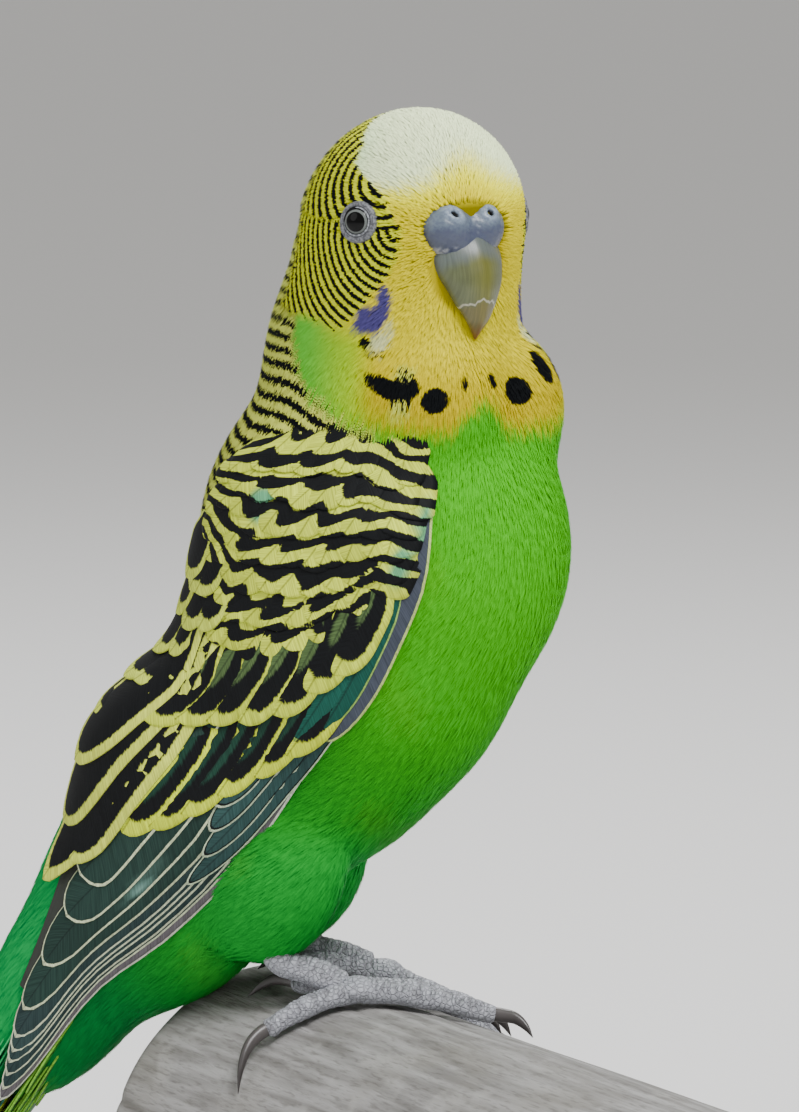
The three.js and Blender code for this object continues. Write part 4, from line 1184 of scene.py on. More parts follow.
def lay_scapulars(vanes, side, draws):
    for place, first, last in SCAPULAR_ROWS:
        for angle in np.linspace(first, last, 3):
            tip = np.array([place, angle]) + draws.uniform(-1, 1, 2) * (0.07, 1.5)
            root = tip - (0.55, 4)
            half = draws.uniform(2.2, 2.9)
            lay_vane(vanes, "scapular", root, tip, half, (0.2, 1.0), side, draws,
                     tip_round=0.34, roll=0.06)


def wing_vanes(side):
    draws = np.random.default_rng(SEEDS["wing"])
    vanes = Vanes(WING_CELLS)
    lay_long_rows(vanes, side, draws)
    lay_lesser_coverts(vanes, side, draws)
    lay_scapulars(vanes, side, draws)
    return vanes


def wing_core(side):
    """The dark body of the wing that the vanes lie over."""
    places = np.linspace(2.62, 7.3, 48)
    shares = np.linspace(0.04, 0.96, 14)
    place = np.repeat(places[:, None], len(shares), axis=1)
    front, back = profile(WING_FRONT, places)[:, None], profile(WING_BACK, places)[:, None]
    angle = front + (back - front) * shares
    outer = over_bed(place, angle, pad_height(place, angle) * 0.9, side)
    inner = over_bed(place, angle, np.full(place.shape, mm(-0.6)), side)
    rings = np.concatenate([outer, inner[:, ::-1]], axis=1)
    return closed_tube(rings, rings[:1].mean(axis=1), rings[-1:].mean(axis=1))


def vane_material():
    s = Shader("vane", roughness=0.6, Specular_IOR_Level=0.12)
    barb = s.attribute("barb")
    shaft = s.attribute("shaft")
    draw = s.attribute("draw")
    lines = s.streaks(((barb, 5.5), (shaft, 0.25), (draw, 31.0)))
    tufted = s.streaks(((barb, 1.6), (shaft, 0.5), (draw, 17.0)))
    ragged = s.plus(s.times(s.minus(lines, 0.5), 0.5),
                    s.times(s.minus(tufted, 0.5), 0.5))
    rim = s.plus(s.attribute("rim"), ragged)
    pale = s.step(1.12, 0.9, rim)
    black = s.step(0.2, -0.25, s.minus(rim, s.attribute("black_to")))
    banded = s.plus(s.attribute("stripe"), s.times(ragged, 1.3))
    black = s.math("MAXIMUM", black, s.step(0.16, -0.16, banded))
    middle = s.colour_mix(black, s.attribute("tint", "Color"), NEAR_BLACK)
    both = s.colour_mix(pale, middle, s.attribute("rim_tint", "Color"))
    shade = s.colour_mix(s.step(0.25, 0.75, lines), (0.62, 0.62, 0.62), (1.15, 1.15, 1.15))
    with_lines = s.colour_mix(1.0, both, shade, "MULTIPLY")
    rachis = s.step(0.16, 0.06, shaft)
    s.colour(s.colour_mix(s.times(rachis, 0.45), with_lines, NEAR_BLACK))
    s.bump(lines, mm(0.06), 0.6)
    return s.material


def plain_material(name, colour, roughness):
    s = Shader(name, roughness=roughness)
    s.colour(s.colour_mix(s.noise(s.place(), 900.0), colour * 0.8, colour * 1.1))
    return s.material


def make_wings(material):
    dark = plain_material("wing_down", srgb(40, 44, 38), 0.8)
    for side, name in ((-1, "right"), (1, "left")):
        made = wing_vanes(side).mesh(f"wing_feathers_{name}")
        piece(made, material, "wing_feathers", f"wing_{name}")
        points, triangles = wing_core(side)
        piece(new_mesh(f"wing_down_{name}", points, triangles), dark, "wing_feathers", f"wing_{name}")


# Tail: long vanes stacked under the middle pair, and coverts over and under their root

# Each pair of long feathers: where its tip is on the spine, how far aside, and its colours
OUTER_RIM = (26, 92, 80)
TAIL_PAIRS = (
    (10.0, 0.9, (20, 62, 96), (26, 74, 104)),
    (9.3, 2.2, (30, 110, 92), (24, 84, 84)),
    (9.0, 3.2, (176, 190, 40), OUTER_RIM),
    (8.75, 4.0, (188, 200, 44), OUTER_RIM),
    (8.55, 4.7, (192, 202, 48), OUTER_RIM),
    (8.4, 5.2, (196, 206, 50), OUTER_RIM),
)
TAIL_HALF_WIDTH = 2.2
TAIL_STEP = 0.62
# Coverts over and under the tail: which face, how far off the middle line at root and tip, colours
TAIL_COVERTS = (
    (1, 4.4, 2.9, (24, 150, 96), (60, 190, 110)),
    (-1, -4.9, -3.2, (58, 150, 40), (120, 178, 60)),
)
TAIL_COVERT_ROWS = ((7.35, 8.4), (7.1, 8.12), (6.85, 7.85))
TAIL_COVERTS_ACROSS = 9


def tail_vane(vanes, style, ends, aside, back, half, colours, draws, tip_round):
    start, stop = ends
    length = float(np.linalg.norm(spine_at(stop)[0] - spine_at(start)[0])) * 1000
    t, x, a, columns = vane_parts(style, length, half, tip_round, draws.uniform(0, 1))
    place = start + (stop - start) * t
    at, _, backward, _ = spine_at(place.ravel())
    across = (aside[0] + (aside[1] - aside[0]) * t + x).ravel()
    lift = (back[0] + (back[1] - back[0]) * t - 0.05 * x ** 2 * math.copysign(1, back[0])).ravel()
    top = at + LEFT * mm(1) * across[:, None] + backward * mm(1) * lift[:, None]
    bottom = top - backward * VANE_THICKNESS * math.copysign(1, back[0] + 0.01)
    shape = t.shape + (3,)
    middle, rim_colour = colours
    columns["tint"] = np.broadcast_to(srgb(*middle), shape) * draws.uniform(0.9, 1.1)
    columns["rim_tint"] = np.broadcast_to(srgb(*rim_colour), shape)
    vanes.lay(top.reshape(shape), bottom.reshape(shape), columns, a, t)


def make_tail(material):
    draws = np.random.default_rng(SEEDS["tail"])
    vanes = Vanes(TAIL_CELLS)
    for pair, (tip, aside, middle, rim) in enumerate(TAIL_PAIRS):
        for side in (1, -1):
            tail_vane(vanes, "primary", (7.2, tip), (0.3 * aside * side, aside * side),
                      (1.5 - 0.45 * pair, 1.6 - TAIL_STEP * pair - 0.12 * side), TAIL_HALF_WIDTH,
                      (middle, rim), draws, 0.1)
    for face, reach, tip_back, colour, rim in TAIL_COVERTS:
        for row, (start, stop) in enumerate(TAIL_COVERT_ROWS):
            for share in np.linspace(-1, 1, TAIL_COVERTS_ACROSS - row):
                wide = 4.4 + 0.8 * row
                sunk = 1 - 0.45 * share ** 2
                tail_vane(vanes, "primary", (start, stop + 0.1 * (1 - abs(share))),
                          (0.7 * wide * share, wide * share),
                          (reach * sunk + 0.35 * row * face, tip_back * sunk + 0.6 * row * face), 1.9,
                          (colour, rim), draws, 0.35)
    piece(vanes.mesh("tail_feathers"), material, "tail_feathers", "tail")


# Eyes and the rings of bare skin round them

def rings_about(middle, look, radii, heights, sides):
    """Rings about a look, each with its own radius and its own height along the look."""
    sideways = unit(np.cross(UPWARD, look))
    upward = np.cross(look, sideways)
    turn = circle(sides)[:, None]
    spokes = np.cos(turn) * sideways + np.sin(turn) * upward
    return middle + spokes[None] * radii[:, None, None] + look * heights[:, None, None]


# A lid ring's section: millimetres from the eye's middle line, then over the skin
LID_SECTION = (
    (1.58, -0.55), (1.60, 0.0), (1.66, 0.2), (1.74, 0.27), (1.83, 0.24), (1.92, 0.12), (2.0, 0.16),
    (2.12, 0.3), (2.26, 0.26), (2.36, 0.3), (2.48, 0.24), (2.6, 0.16), (2.72, -0.05), (2.85, -0.4),
    (2.7, -0.8), (2.2, -0.9), (1.8, -0.8),
)
LID_SIDES = 96
LID_CREASES = (9, 14, 23, 31)
EYE_ROWS, EYE_SIDES = 44, 56


def lid_ring(look, surface, draws):
    """A closed ring of crinkled skin that lies on the head round an eye."""
    radii, heights = (mm(1) * np.array(LID_SECTION)[:, k] for k in range(2))
    rings = rings_about(surface, look, radii, np.zeros(len(radii)), LID_SIDES)
    points = rings.reshape(-1, 3)
    facing, here = outward(points, BODY)
    turn = np.tile(circle(LID_SIDES), len(radii))
    radius = np.repeat(radii, LID_SIDES) * 1000
    crinkle = sum(np.sin(turn * waves + phase + 2.5 * radius) / 6
                  for waves, phase in zip(LID_CREASES, draws.uniform(0, 6, 4)))
    height = np.repeat(heights, LID_SIDES) + mm(0.06) * crinkle * (radius > 1.9) * (radius < 2.65)
    points = points + facing * (height - here)[:, None]
    closed = np.vstack([grid_triangles(len(radii), LID_SIDES), join_ends(len(radii), LID_SIDES)])
    return points, outward_faces(points - surface, closed), radius


def join_ends(rows, columns):
    """Triangles between the last and the first row of a grid whose columns close into a ring."""
    column = np.arange(columns)
    following = (column + 1) % columns
    last = (rows - 1) * columns
    return np.vstack([
        np.stack([last + column, last + following, following], axis=1),
        np.stack([last + column, following, column], axis=1),
    ])


PUPIL_BLACK = srgb(4, 4, 5)


def eye_material():
    s = Shader("eye", roughness=0.05, Specular_IOR_Level=0.16)
    ring = s.attribute("ring")
    spokes = s.streaks(((s.attribute("turn"), 9.0), (ring, 1.0)), 3.0)
    iris = s.colour_mix(spokes, srgb(66, 72, 74), srgb(120, 124, 120))
    pupil = s.step(1.30, 1.24, ring)
    # Black beyond the iris: painted shadow of the lid's margin
    outer = s.step(1.5, 1.6, ring)
    s.colour(s.colour_mix(s.math("MAXIMUM", pupil, outer), iris, PUPIL_BLACK))
    return s.material


def lid_material():
    s = Shader("lid_skin", roughness=0.5, Specular_IOR_Level=0.35)
    ring = s.attribute("ring")
    place = s.place()
    crease = s.noise(place, 3200.0, 3.0)
    base = s.colour_mix(s.noise(place, 1100.0, 2.0), srgb(84, 86, 90), srgb(136, 138, 144))
    rim = s.times(s.step(1.60, 1.70, ring), s.step(1.92, 1.84, ring))
    base = s.colour_mix(rim, base, srgb(150, 154, 160))
    # A dark band at the lid's inner margin is painted shadow of the lid over the eye, and the groove
    # further out is darkened as painted shade
    groove = s.times(s.step(1.86, 1.93, ring), s.step(2.04, 1.97, ring))
    edge = s.math("MAXIMUM", s.step(1.68, 1.62, ring), s.times(groove, 0.7))
    base = s.colour_mix(edge, base, srgb(24, 24, 28))
    # Darker where the crease noise sinks: painted shade in the skin's creases
    s.colour(s.colour_mix(s.times(s.step(0.6, 0.35, crease), 0.75), base, srgb(44, 44, 50)))
    s.bump(crease, mm(0.08), 0.8)
    return s.material


def make_eyes():
    ball, skin = eye_material(), lid_material()
    draws = np.random.default_rng(SEEDS["lids"])
    polar = np.linspace(0.04, math.pi - 0.04, EYE_ROWS)
    for side, name in ((-1, "right"), (1, "left")):
        look, surface, middle = eye_place(side)
        radii, heights = EYE_RADIUS * np.sin(polar), EYE_RADIUS * np.cos(polar)
        rings = rings_about(middle, look, radii, heights, EYE_SIDES)
        points, triangles = closed_tube(rings, (middle + look * EYE_RADIUS)[None],
                                        (middle - look * EYE_RADIUS)[None])
        off = points - middle
        ahead = off @ look
        ring = np.linalg.norm(off - ahead[:, None] * look, axis=1) * 1000
        turn = np.arctan2(off @ UPWARD, off @ unit(np.cross(UPWARD, look)))
        attributes = {"ring": np.where(ahead > 0, ring, 3.0), "turn": turn}
        piece(new_mesh(f"eyeball_{name}", points, triangles, attributes), ball, "eye", f"eye_{name}")
        points, triangles, radius = lid_ring(look, surface, draws)
        piece(new_mesh(f"lids_{name}", points, triangles, {"ring": radius}), skin, "cere")


# The cere: two soft lobes over the bill, each with its nostril

CERE_AHEAD, CERE_ASIDE, CERE_SHIFT, CERE_RISE = mm(12.6), mm(2.6), mm(-0.5), mm(1.4)
CERE_SIZE = (3.8, 3.4, 3.4)
CERE_FILL = ((12.3, -0.5, -0.6), (3.7, 4.9, 2.5))
CERE_BLEND = mm(0.5)
NOSTRIL_ASIDE, NOSTRIL_RISE = mm(2.75), mm(2.0)
NOSTRIL_WIDE, NOSTRIL_TALL, NOSTRIL_DEPTH = mm(0.62), mm(0.44), mm(1.0)
NOSTRIL_TILT = 0.35
CERE_ROWS, CERE_SIDES = 84, 120


def cere_masses():
    """Two lobes over the bill and the mass that fills in between them."""
    turned = math.degrees(HEAD_TURN)
    lobes = []
    for side in (1, -1):
        at = in_head(CERE_AHEAD, CERE_SHIFT + side * CERE_ASIDE, CERE_RISE)
        lobes.append((at * 1000, CERE_SIZE, 0, turned))
    fill_at, fill_size = CERE_FILL
    lobes.append((in_head(*mm(*fill_at)) * 1000, fill_size, 0, turned))
    return prepared(lobes)


def nostril_pit(aside, rise):
    """How far places on the cere lie from the nearer nostril: 1 on its edge."""
    pit = np.full(len(aside), 9.0)
    cosine, sine = math.cos(NOSTRIL_TILT), math.sin(NOSTRIL_TILT)
    for side in (1, -1):
        across, up = aside - side * NOSTRIL_ASIDE, rise - NOSTRIL_RISE
        x = across * cosine + up * sine * side
        y = up * cosine - across * sine * side
        pit = np.minimum(pit, np.hypot(x / NOSTRIL_WIDE, y / NOSTRIL_TALL))
    return pit


def make_cere():
    masses = cere_masses()
    middle = in_head(CERE_AHEAD - mm(0.6), CERE_SHIFT, CERE_RISE)
    polar = np.linspace(0.03, math.pi - 0.03, CERE_ROWS)
    polar, around = (v.ravel() for v in np.meshgrid(polar, circle(CERE_SIDES), indexing="ij"))
    way = (FORWARD * np.cos(polar)[:, None] + LEFTWARD * (np.sin(polar) * np.cos(around))[:, None]
           + UPWARD * (np.sin(polar) * np.sin(around))[:, None])
    start = np.broadcast_to(middle, way.shape)
    reach = reach_along(start, way, masses, 0.0, CERE_BLEND)
    points = start + way * reach[:, None]
    facing, _ = outward(points, masses, CERE_BLEND)
    off = points - middle
    aside, rise = off @ LEFTWARD, off @ UPWARD
    in_front = smooth(0.0, 0.6, off @ FORWARD / mm(3)) > 0.2
    pit = np.where(in_front, nostril_pit(aside, rise), 9.0)
    height = -NOSTRIL_DEPTH * smooth(1.0, 0.45, pit) + mm(0.22) * np.exp(-((pit - 1.6) / 0.6) ** 2)
    wrinkle = np.sin(aside * 5200 + rise * 2600) * np.sin(rise * 4300 - aside * 1500)
    height += mm(0.035) * wrinkle * smooth(1.2, 2.2, pit)
    points = points + facing * height[:, None]
    ends = middle + FORWARD * np.array([[reach[:CERE_SIDES].mean()], [-reach[-CERE_SIDES:].mean()]])
    points, triangles = closed_tube(points.reshape(CERE_ROWS, CERE_SIDES, 3), ends[:1], ends[1:])
    attributes = {
        "pit": np.append(pit, [9.0, 9.0]),
        "rise": np.append(rise, [0, 0]) * 1000,
    }
    piece(new_mesh("cere_skin", points, triangles, attributes), cere_material(), "cere", "cere")


def cere_material():
    s = Shader("cere_skin", roughness=0.38, Specular_IOR_Level=0.4, Coat_Weight=0.15,
               Coat_Roughness=0.25)
    place = s.place()
    mottle = s.noise(place, 650.0, 3.0)
    fine = s.noise(place, 2600.0, 3.0)
    rise = s.plus(s.attribute("rise"), s.times(s.minus(mottle, 0.5), 2.2))
    pit = s.attribute("pit")
    # Darker and more violet low on the cere, paler blue at its top: the violet lower edge is the cere's
    # own colour, the paler top is painted light
    tone = s.colour_mix(s.step(-0.6, 1.3, rise), srgb(64, 71, 90), srgb(92, 105, 118))
    halo = s.times(s.step(3.2, 1.5, pit), 0.75)
    tone = s.colour_mix(halo, tone, srgb(136, 152, 170))
    tone = s.colour_mix(s.times(s.step(0.6, 0.35, fine), 0.4), tone, srgb(56, 60, 88))
    flaky = s.times(s.step(-1.9, -2.5, rise), s.step(0.42, 0.6, mottle))
    tone = s.colour_mix(s.times(flaky, 0.7), tone, srgb(160, 162, 166))
    # The nostril pits are painted near black: painted shade inside the openings
    s.colour(s.colour_mix(s.step(1.02, 0.75, pit), tone, srgb(10, 10, 12)))
    s.bump(fine, mm(0.06), 0.6)
    return s.material


# The bill

# Millimetres ahead and above the head's middle, then half-width and half-height
UPPER_BILL = (
    (8, -0.6, 4.9, 3.6), (12.5, -1.9, 5.2, 3.7), (14.6, -4.8, 4.35, 3.1), (15.4, -7.6, 3.1, 2.2),
    (15.8, -9.8, 1.9, 1.3), (15.6, -11.4, 0.85, 0.65), (15.3, -12.6, 0.12, 0.12),
)
LOWER_BILL = (
    (6.5, -7, 3, 2), (9.5, -9.2, 2.9, 1.7), (11.8, -10.6, 1.9, 1.2), (12.9, -11.2, 0.15, 0.15),
)
BILL_ROWS, BILL_SIDES = 72, 48
# Where the horn's flaking edge crosses the upper bill
FLAKE_RISE = -8.1


def bill_piece(name, stations, node, material, ridged):
    """Half a bill along its stations; ridged is 1 for a ridge and a flaking edge, otherwise 0."""
    line = smooth_line(stations, BILL_ROWS)
    middle = in_head(mm(1) * line[:, :1], 0, 0) + UPWARD * mm(1) * line[:, 1:2]
    along = unit(np.gradient(middle, axis=0))
    front = unit(np.cross(along, LEFTWARD))
    turn = circle(BILL_SIDES)
    across, forth = np.cos(turn)[None], np.sin(turn)[None]
    width, depth = np.maximum(line[:, 2:3], 0.03), np.maximum(line[:, 3:4], 0.03)
    ridge = ridged * np.exp(-(across / 0.28) ** 2) * (forth > 0) * np.minimum(depth, 2) * 0.13
    flat = 1 - 0.07 * ridged * np.sin(2 * turn)[None] ** 2
    rise = line[:, 1:2] + 0.5 * across ** 2 * ridged
    chipped = 0.18 * np.sin(across * 9) + 0.1 * np.sin(across * 23 + 1)
    plate = ridged * 0.12 * smooth(FLAKE_RISE - 0.12, FLAKE_RISE + 0.05, rise + chipped)
    x = across * (width * flat + plate * 0.5)
    y = forth * (depth * flat + plate) + ridge
    grid = middle[:, None] + mm(1) * (LEFTWARD * x[..., None] + front[:, None] * y[..., None])
    points, triangles = closed_tube(grid, middle[:1], middle[-1:] + along[-1:] * mm(0.05))
    columns = {
        "down": (rise + chipped, [line[0, 1], line[-1, 1]]),
        "ridge": (np.exp(-(across / 0.45) ** 2) * (forth > 0), [0, 0]),
        "aside": (across * width, [0, 0]),
    }
    attributes = {key: np.append(np.broadcast_to(values, x.shape), ends)
                  for key, (values, ends) in columns.items()}
    piece(new_mesh(name, points, triangles, attributes), material, "bill_horn", node)


def horn_material():
    s = Shader("horn", roughness=0.36, Specular_IOR_Level=0.4, Coat_Weight=0.08, Coat_Roughness=0.2,
               Subsurface_Weight=0.12)
    s.surface.inputs["Subsurface Radius"].default_value = (0.0012, 0.0009, 0.0004)
    down, ridge, aside = (s.attribute(name) for name in ("down", "ridge", "aside"))
    place = s.place()
    lines = s.streaks(((aside, 5.0), (down, 0.35)), detail=3.0)
    cloud = s.noise(place, 420.0, 2.0)
    tone = s.colour_mix(cloud, srgb(72, 78, 52), srgb(94, 100, 70))
    tone = s.colour_mix(s.times(ridge, 0.8), tone, srgb(96, 96, 26))
    tone = s.colour_mix(s.step(-4.4, -3.0, down), tone, srgb(84, 92, 88))
    below = s.step(FLAKE_RISE, FLAKE_RISE - 0.5, down)
    tone = s.colour_mix(s.times(below, 0.55), tone, srgb(100, 86, 40))
    tone = s.colour_mix(s.step(-9.8, -12.2, down), tone, srgb(102, 66, 26))
    line = s.times(s.step(FLAKE_RISE - 0.16, FLAKE_RISE - 0.04, down),
                  s.step(FLAKE_RISE + 0.2, FLAKE_RISE + 0.05, down))
    tone = s.colour_mix(s.times(line, 0.6), tone, srgb(190, 186, 168))
    shade = s.colour_mix(s.step(0.3, 0.7, lines), (0.8, 0.8, 0.8), (1.1, 1.1, 1.1))
    s.colour(s.colour_mix(1.0, tone, shade, "MULTIPLY"))
    s.bump(lines, mm(0.05), 0.5)
    return s.material


def make_bill():
    horn = horn_material()
    bill_piece("bill_upper", UPPER_BILL, "beak_upper", horn, 1)
    bill_piece("bill_lower", LOWER_BILL, "beak_lower", horn, 0)


# Branch: its radius, how it dips, and how far it reaches each way from the feet

PERCH_RADIUS = mm(25)
PERCH_DIP = math.radians(6)
PERCH_NEAR, PERCH_FAR = mm(88), mm(-19)
PERCH_EDGE = mm(2.0)
PERCH_ALONG = np.array([
    math.cos(PERCH_HEADING) * math.cos(PERCH_DIP),
    math.sin(PERCH_HEADING) * math.cos(PERCH_DIP),
    -math.sin(PERCH_DIP),
])
PERCH_MIDDLE = np.array([0, 0, -PERCH_RADIUS / math.cos(PERCH_DIP)])
PERCH_ROWS, PERCH_SIDES = 200, 220
# Knots in the bark: metres along the branch and radians round it
PERCH_KNOTS = ((0.046, 0.7), (0.012, -1.15), (0.068, -0.5))


def over_perch(x, y, lift):
    """Points on top of the branch over places in plan, lifted square off its bark."""
    x, y, lift = np.broadcast_arrays(np.asarray(x, float), np.asarray(y, float), np.asarray(lift, float))
    across = x * PERCH_ALONG[0] + y * PERCH_ALONG[1]
    square = 1 - PERCH_ALONG[2] ** 2
    half = across * PERCH_ALONG[2]
    rest = x ** 2 + y ** 2 - across ** 2 - PERCH_RADIUS ** 2
    rise = (half + np.sqrt(np.maximum(half ** 2 - square * rest, 0))) / square
    off = np.stack([x, y, rise], axis=-1)
    out = unit(off - (off @ PERCH_ALONG)[..., None] * PERCH_ALONG)
    return PERCH_MIDDLE + off + out * lift[..., None]


def bark_swells(place, turn, draws):
    """Soft waves over the bark, at metres along the branch and radians round it."""
    relief = np.zeros(place.shape)
    for _ in range(26):
        waves = draws.integers(2, 15)
        pace = draws.uniform(10, 90)
        relief += np.sin(turn * waves + pace * place + draws.uniform(0, 6.28)) / (1 + 0.25 * waves)
    return relief


def bark_grooves(place, turn, draws):
    """Short cracks that sway a little along the branch: 1 at the bottom of each."""
    groove = np.zeros(place.shape)
    for _ in range(30):
        at, start = draws.uniform(0, 2 * math.pi), draws.uniform(PERCH_FAR, PERCH_NEAR)
        long, wide = draws.uniform(0.008, 0.03), draws.uniform(0.012, 0.035)
        sway = 0.12 * np.sin((place - start) * 90)
        near = np.angle(np.exp(1j * (turn - at - sway)))
        run = smooth(1, 0.4, np.abs(place - start) / long)
        groove = np.maximum(groove, np.exp(-(near / wide) ** 2) * run)
    return groove


def bark_knots(place, turn):
    """A swollen rim with a dent in its middle at each knot."""
    knot = np.zeros(place.shape)
    for knot_place, knot_turn in PERCH_KNOTS:
        around = np.angle(np.exp(1j * (turn - knot_turn))) * PERCH_RADIUS
        far = np.hypot(place - knot_place, around)
        knot += np.exp(-(far / mm(4.5)) ** 2) - 1.4 * np.exp(-(far / mm(1.9)) ** 2)
    return knot


def sawn_end(edge, end, sign, spokes):
    """Rings from the bark over a soft bevel to the middle of a sawn end."""
    layers = []
    for share in np.linspace(0, 1, 8)[1:]:
        bevel = math.sin(share * math.pi / 2) * PERCH_EDGE
        layers.append((edge - PERCH_EDGE * (1 - math.cos(share * math.pi / 2)), end + sign * bevel))
    for share in np.linspace(1, 0.02, 26)[1:]:
        layers.append(((edge - PERCH_EDGE) * share, end + sign * PERCH_EDGE))
    return [PERCH_MIDDLE + PERCH_ALONG * at + spokes * wide[:, None] for wide, at in layers]


def make_perch():
    """The branch with shallow dents and grooves, and sawn ends."""
    draws = np.random.default_rng(SEEDS["branch"])
    upward = unit(UPWARD - PERCH_ALONG * (UPWARD @ PERCH_ALONG))
    sideways = np.cross(PERCH_ALONG, upward)
    turn = circle(PERCH_SIDES)
    spokes = sideways * np.sin(turn)[:, None] + upward * np.cos(turn)[:, None]
    line = np.linspace(PERCH_FAR + PERCH_EDGE, PERCH_NEAR - PERCH_EDGE, PERCH_ROWS)
    place, around = np.meshgrid(line, turn, indexing="ij")
    relief = bark_swells(place, around, draws)
    groove = bark_grooves(place, around, draws)
    under_feet = smooth(mm(34), mm(22), np.abs(place)) * smooth(0.5, 0.9, np.cos(around))
    radius = (PERCH_RADIUS - mm(0.3) + mm(0.09) * relief * (1 - 0.6 * under_feet) - mm(0.3) * groove
              + mm(0.22) * bark_knots(place, around))
    bark = PERCH_MIDDLE + PERCH_ALONG * place[..., None] + spokes * radius[..., None]
    far_end = sawn_end(radius[0], line[0], -1, spokes)
    near_end = sawn_end(radius[-1], line[-1], 1, spokes)
    whole = np.stack(far_end[::-1] + list(bark) + near_end)
    tips = PERCH_MIDDLE + PERCH_ALONG * np.array([[PERCH_FAR], [PERCH_NEAR]])
    points, triangles = closed_tube(whole, tips[:1], tips[1:])

    off = points - PERCH_MIDDLE
    along = off @ PERCH_ALONG
    out = np.linalg.norm(off - along[:, None] * PERCH_ALONG, axis=1)
    hollow = np.zeros(whole.shape[:2])
    hollow[len(far_end):len(far_end) + PERCH_ROWS] = groove
    sawn = (along < PERCH_FAR + mm(0.02)) | (along > PERCH_NEAR - mm(0.02))
    attributes = {"along": along * 1000, "out": out * 1000, "sawn": sawn.astype(float),
                  "turn": np.arctan2(off @ sideways, off @ upward),
                  "hollow": np.append(hollow.ravel(), [0, 0])}
    piece(new_mesh("branch", points, triangles, attributes), wood_material(), "branch_wood", "perch")


def wood_material():
    s = Shader("weathered_wood", roughness=0.82, Specular_IOR_Level=0.2)
    along, out, turn = (s.attribute(name) for name in ("along", "out", "turn"))
    sine, cosine = s.math("SINE", turn), s.math("COSINE", turn)
    grain = s.streaks(((along, 0.07), (sine, 16.0), (cosine, 16.0)), detail=6.0)
    fine = s.streaks(((along, 0.5), (sine, 60.0), (cosine, 60.0)), detail=5.0)
    cloud = s.noise(s.place(), 70.0, 4.0)
    patch = s.noise(s.place(), 190.0, 3.0)
    tone = s.colour_mix(s.step(0.3, 0.7, grain), srgb(112, 110, 108), srgb(150, 149, 148))
    tone = s.colour_mix(s.times(s.step(0.45, 0.7, cloud), 0.5), tone, srgb(122, 119, 112))
    tone = s.colour_mix(s.times(s.step(0.55, 0.72, patch), 0.45), tone, srgb(160, 159, 156))
    tone = s.colour_mix(s.times(s.step(0.5, 0.3, fine), 0.45), tone, srgb(80, 76, 72))
    # Darker down in the bark's grooves: painted shade in the cracks
    tone = s.colour_mix(s.times(s.attribute("hollow"), 0.35), tone, srgb(60, 56, 52))
    rings = s.plus(s.times(out, 0.55), s.times(cloud, 3.0))
    rings = s.math("ABSOLUTE", s.minus(s.math("FRACT", rings), 0.5))
    cut = s.colour_mix(s.step(0.1, 0.42, rings), srgb(140, 118, 88), srgb(188, 166, 130))
    cut = s.colour_mix(s.times(s.step(0.56, 0.4, patch), 0.35), cut, srgb(120, 104, 84))
    s.colour(s.colour_mix(s.attribute("sawn"), tone, cut))
    s.bump(s.plus(s.times(grain, 0.6), s.times(fine, 0.5)), mm(0.5), 0.75)
    return s.material


# Legs and feet: tubes with plates across their upper side, and curved claws. Each toe has its
# end in plan and how far its claw turns aside there.

PALM = (3.6, 7.5)
FEET = {
    "right": (-1, ((21.5, -8.0, -1.2), (17.2, -1.2, -0.8), (-6.8, -13.4, 3.4), (-5.6, -3.2, 3))),
    "left": (1, ((18.5, 8.8, 0.6), (15.5, 3.2, 0.8), (-7.5, 13.4, -2.5), (-6.6, 4.6, -1))),
}
TOE_RADIUS = 1.42
SOLE_LIFT = 0.34
CLAW_LENGTH = 5.0
# A claw from inside the toe to its tip: millimetres past the toe's end, height and half-thickness
CLAW_STATIONS = (
    (-1.6, 1.5, 0.86), (0.3, 1.85, 0.92), (2.0, 2.05, 0.78), (3.6, 1.5, 0.5), (CLAW_LENGTH, 0.5, 0.05),
)
CLAW_ROWS, CLAW_SIDES = 40, 18
PALM_SIZE = mm(2.7, 2.4, 1.75)
PALM_ROWS, PALM_SIDES = 26, 36
LEG_ROWS = 90
# The leg from inside the thigh down to the palm: millimetres ahead, aside and up
ANKLE = ((-6.8, 8.2, 13), (-7.6, 8.3, 8.2), (-6.2, 8.2, 4.5), (-2, 7.8, 3))
SCUTE_STEP = 1.15
TUBE_SIDES = 28


def scaly_tube(middle, radius, above, phase):
    """A closed tube with plates across the side that faces above and small swellings below."""
    along = unit(np.gradient(middle, axis=0))
    across = unit(np.cross(along, above))
    above = np.cross(across, along)
    far = np.concatenate([[0], np.cumsum(np.linalg.norm(np.diff(middle, axis=0), axis=1))]) * 1000
    run = far[:, None]
    turn = circle(TUBE_SIDES)[None]
    uneven = 0.35 * np.sin(run * 1.9 + 5 * phase) + 0.22 * np.sin(run * 4.3 + 2 * turn + 9 * phase)
    plate = np.mod(run / SCUTE_STEP + phase + uneven, 1)
    tile = smooth(0, 0.75, np.minimum(plate / 0.72, (1 - plate) / 0.28))
    upper = smooth(-0.25, 0.3, np.sin(turn))
    pebble = np.sin(run * 6.1 + 2 * np.sin(turn * 3)) * np.sin(turn * 9 + run)
    swell = 0.09 * tile * upper + 0.06 * pebble * (1 - 0.5 * upper)
    wide = mm(1) * (radius[:, None] * (1 + 0.06 * np.sin(run * 0.95 + phase)) + swell)
    tip = np.sqrt(np.clip(1 - smooth(far[-1] - 1.2, far[-1] + 0.05, far) ** 2, 0.05, 1))[:, None]
    grid = middle[:, None] + ((across[:, None] * np.cos(turn)[..., None]
                               + above[:, None] * np.sin(turn)[..., None]) * (wide * tip)[..., None])
    points, triangles = closed_tube(grid, middle[:1], middle[-1:])
    crack = np.maximum((1 - tile) * upper, 0)
    return points, triangles, {"crack": np.append(crack.ravel(), [0, 0])}


def toe_run(side, toe):
    """A toe's start in plan, and its way from there to the toe's end."""
    start = np.array([PALM[0], PALM[1] * side])
    return start, np.array(toe[:2]) - start


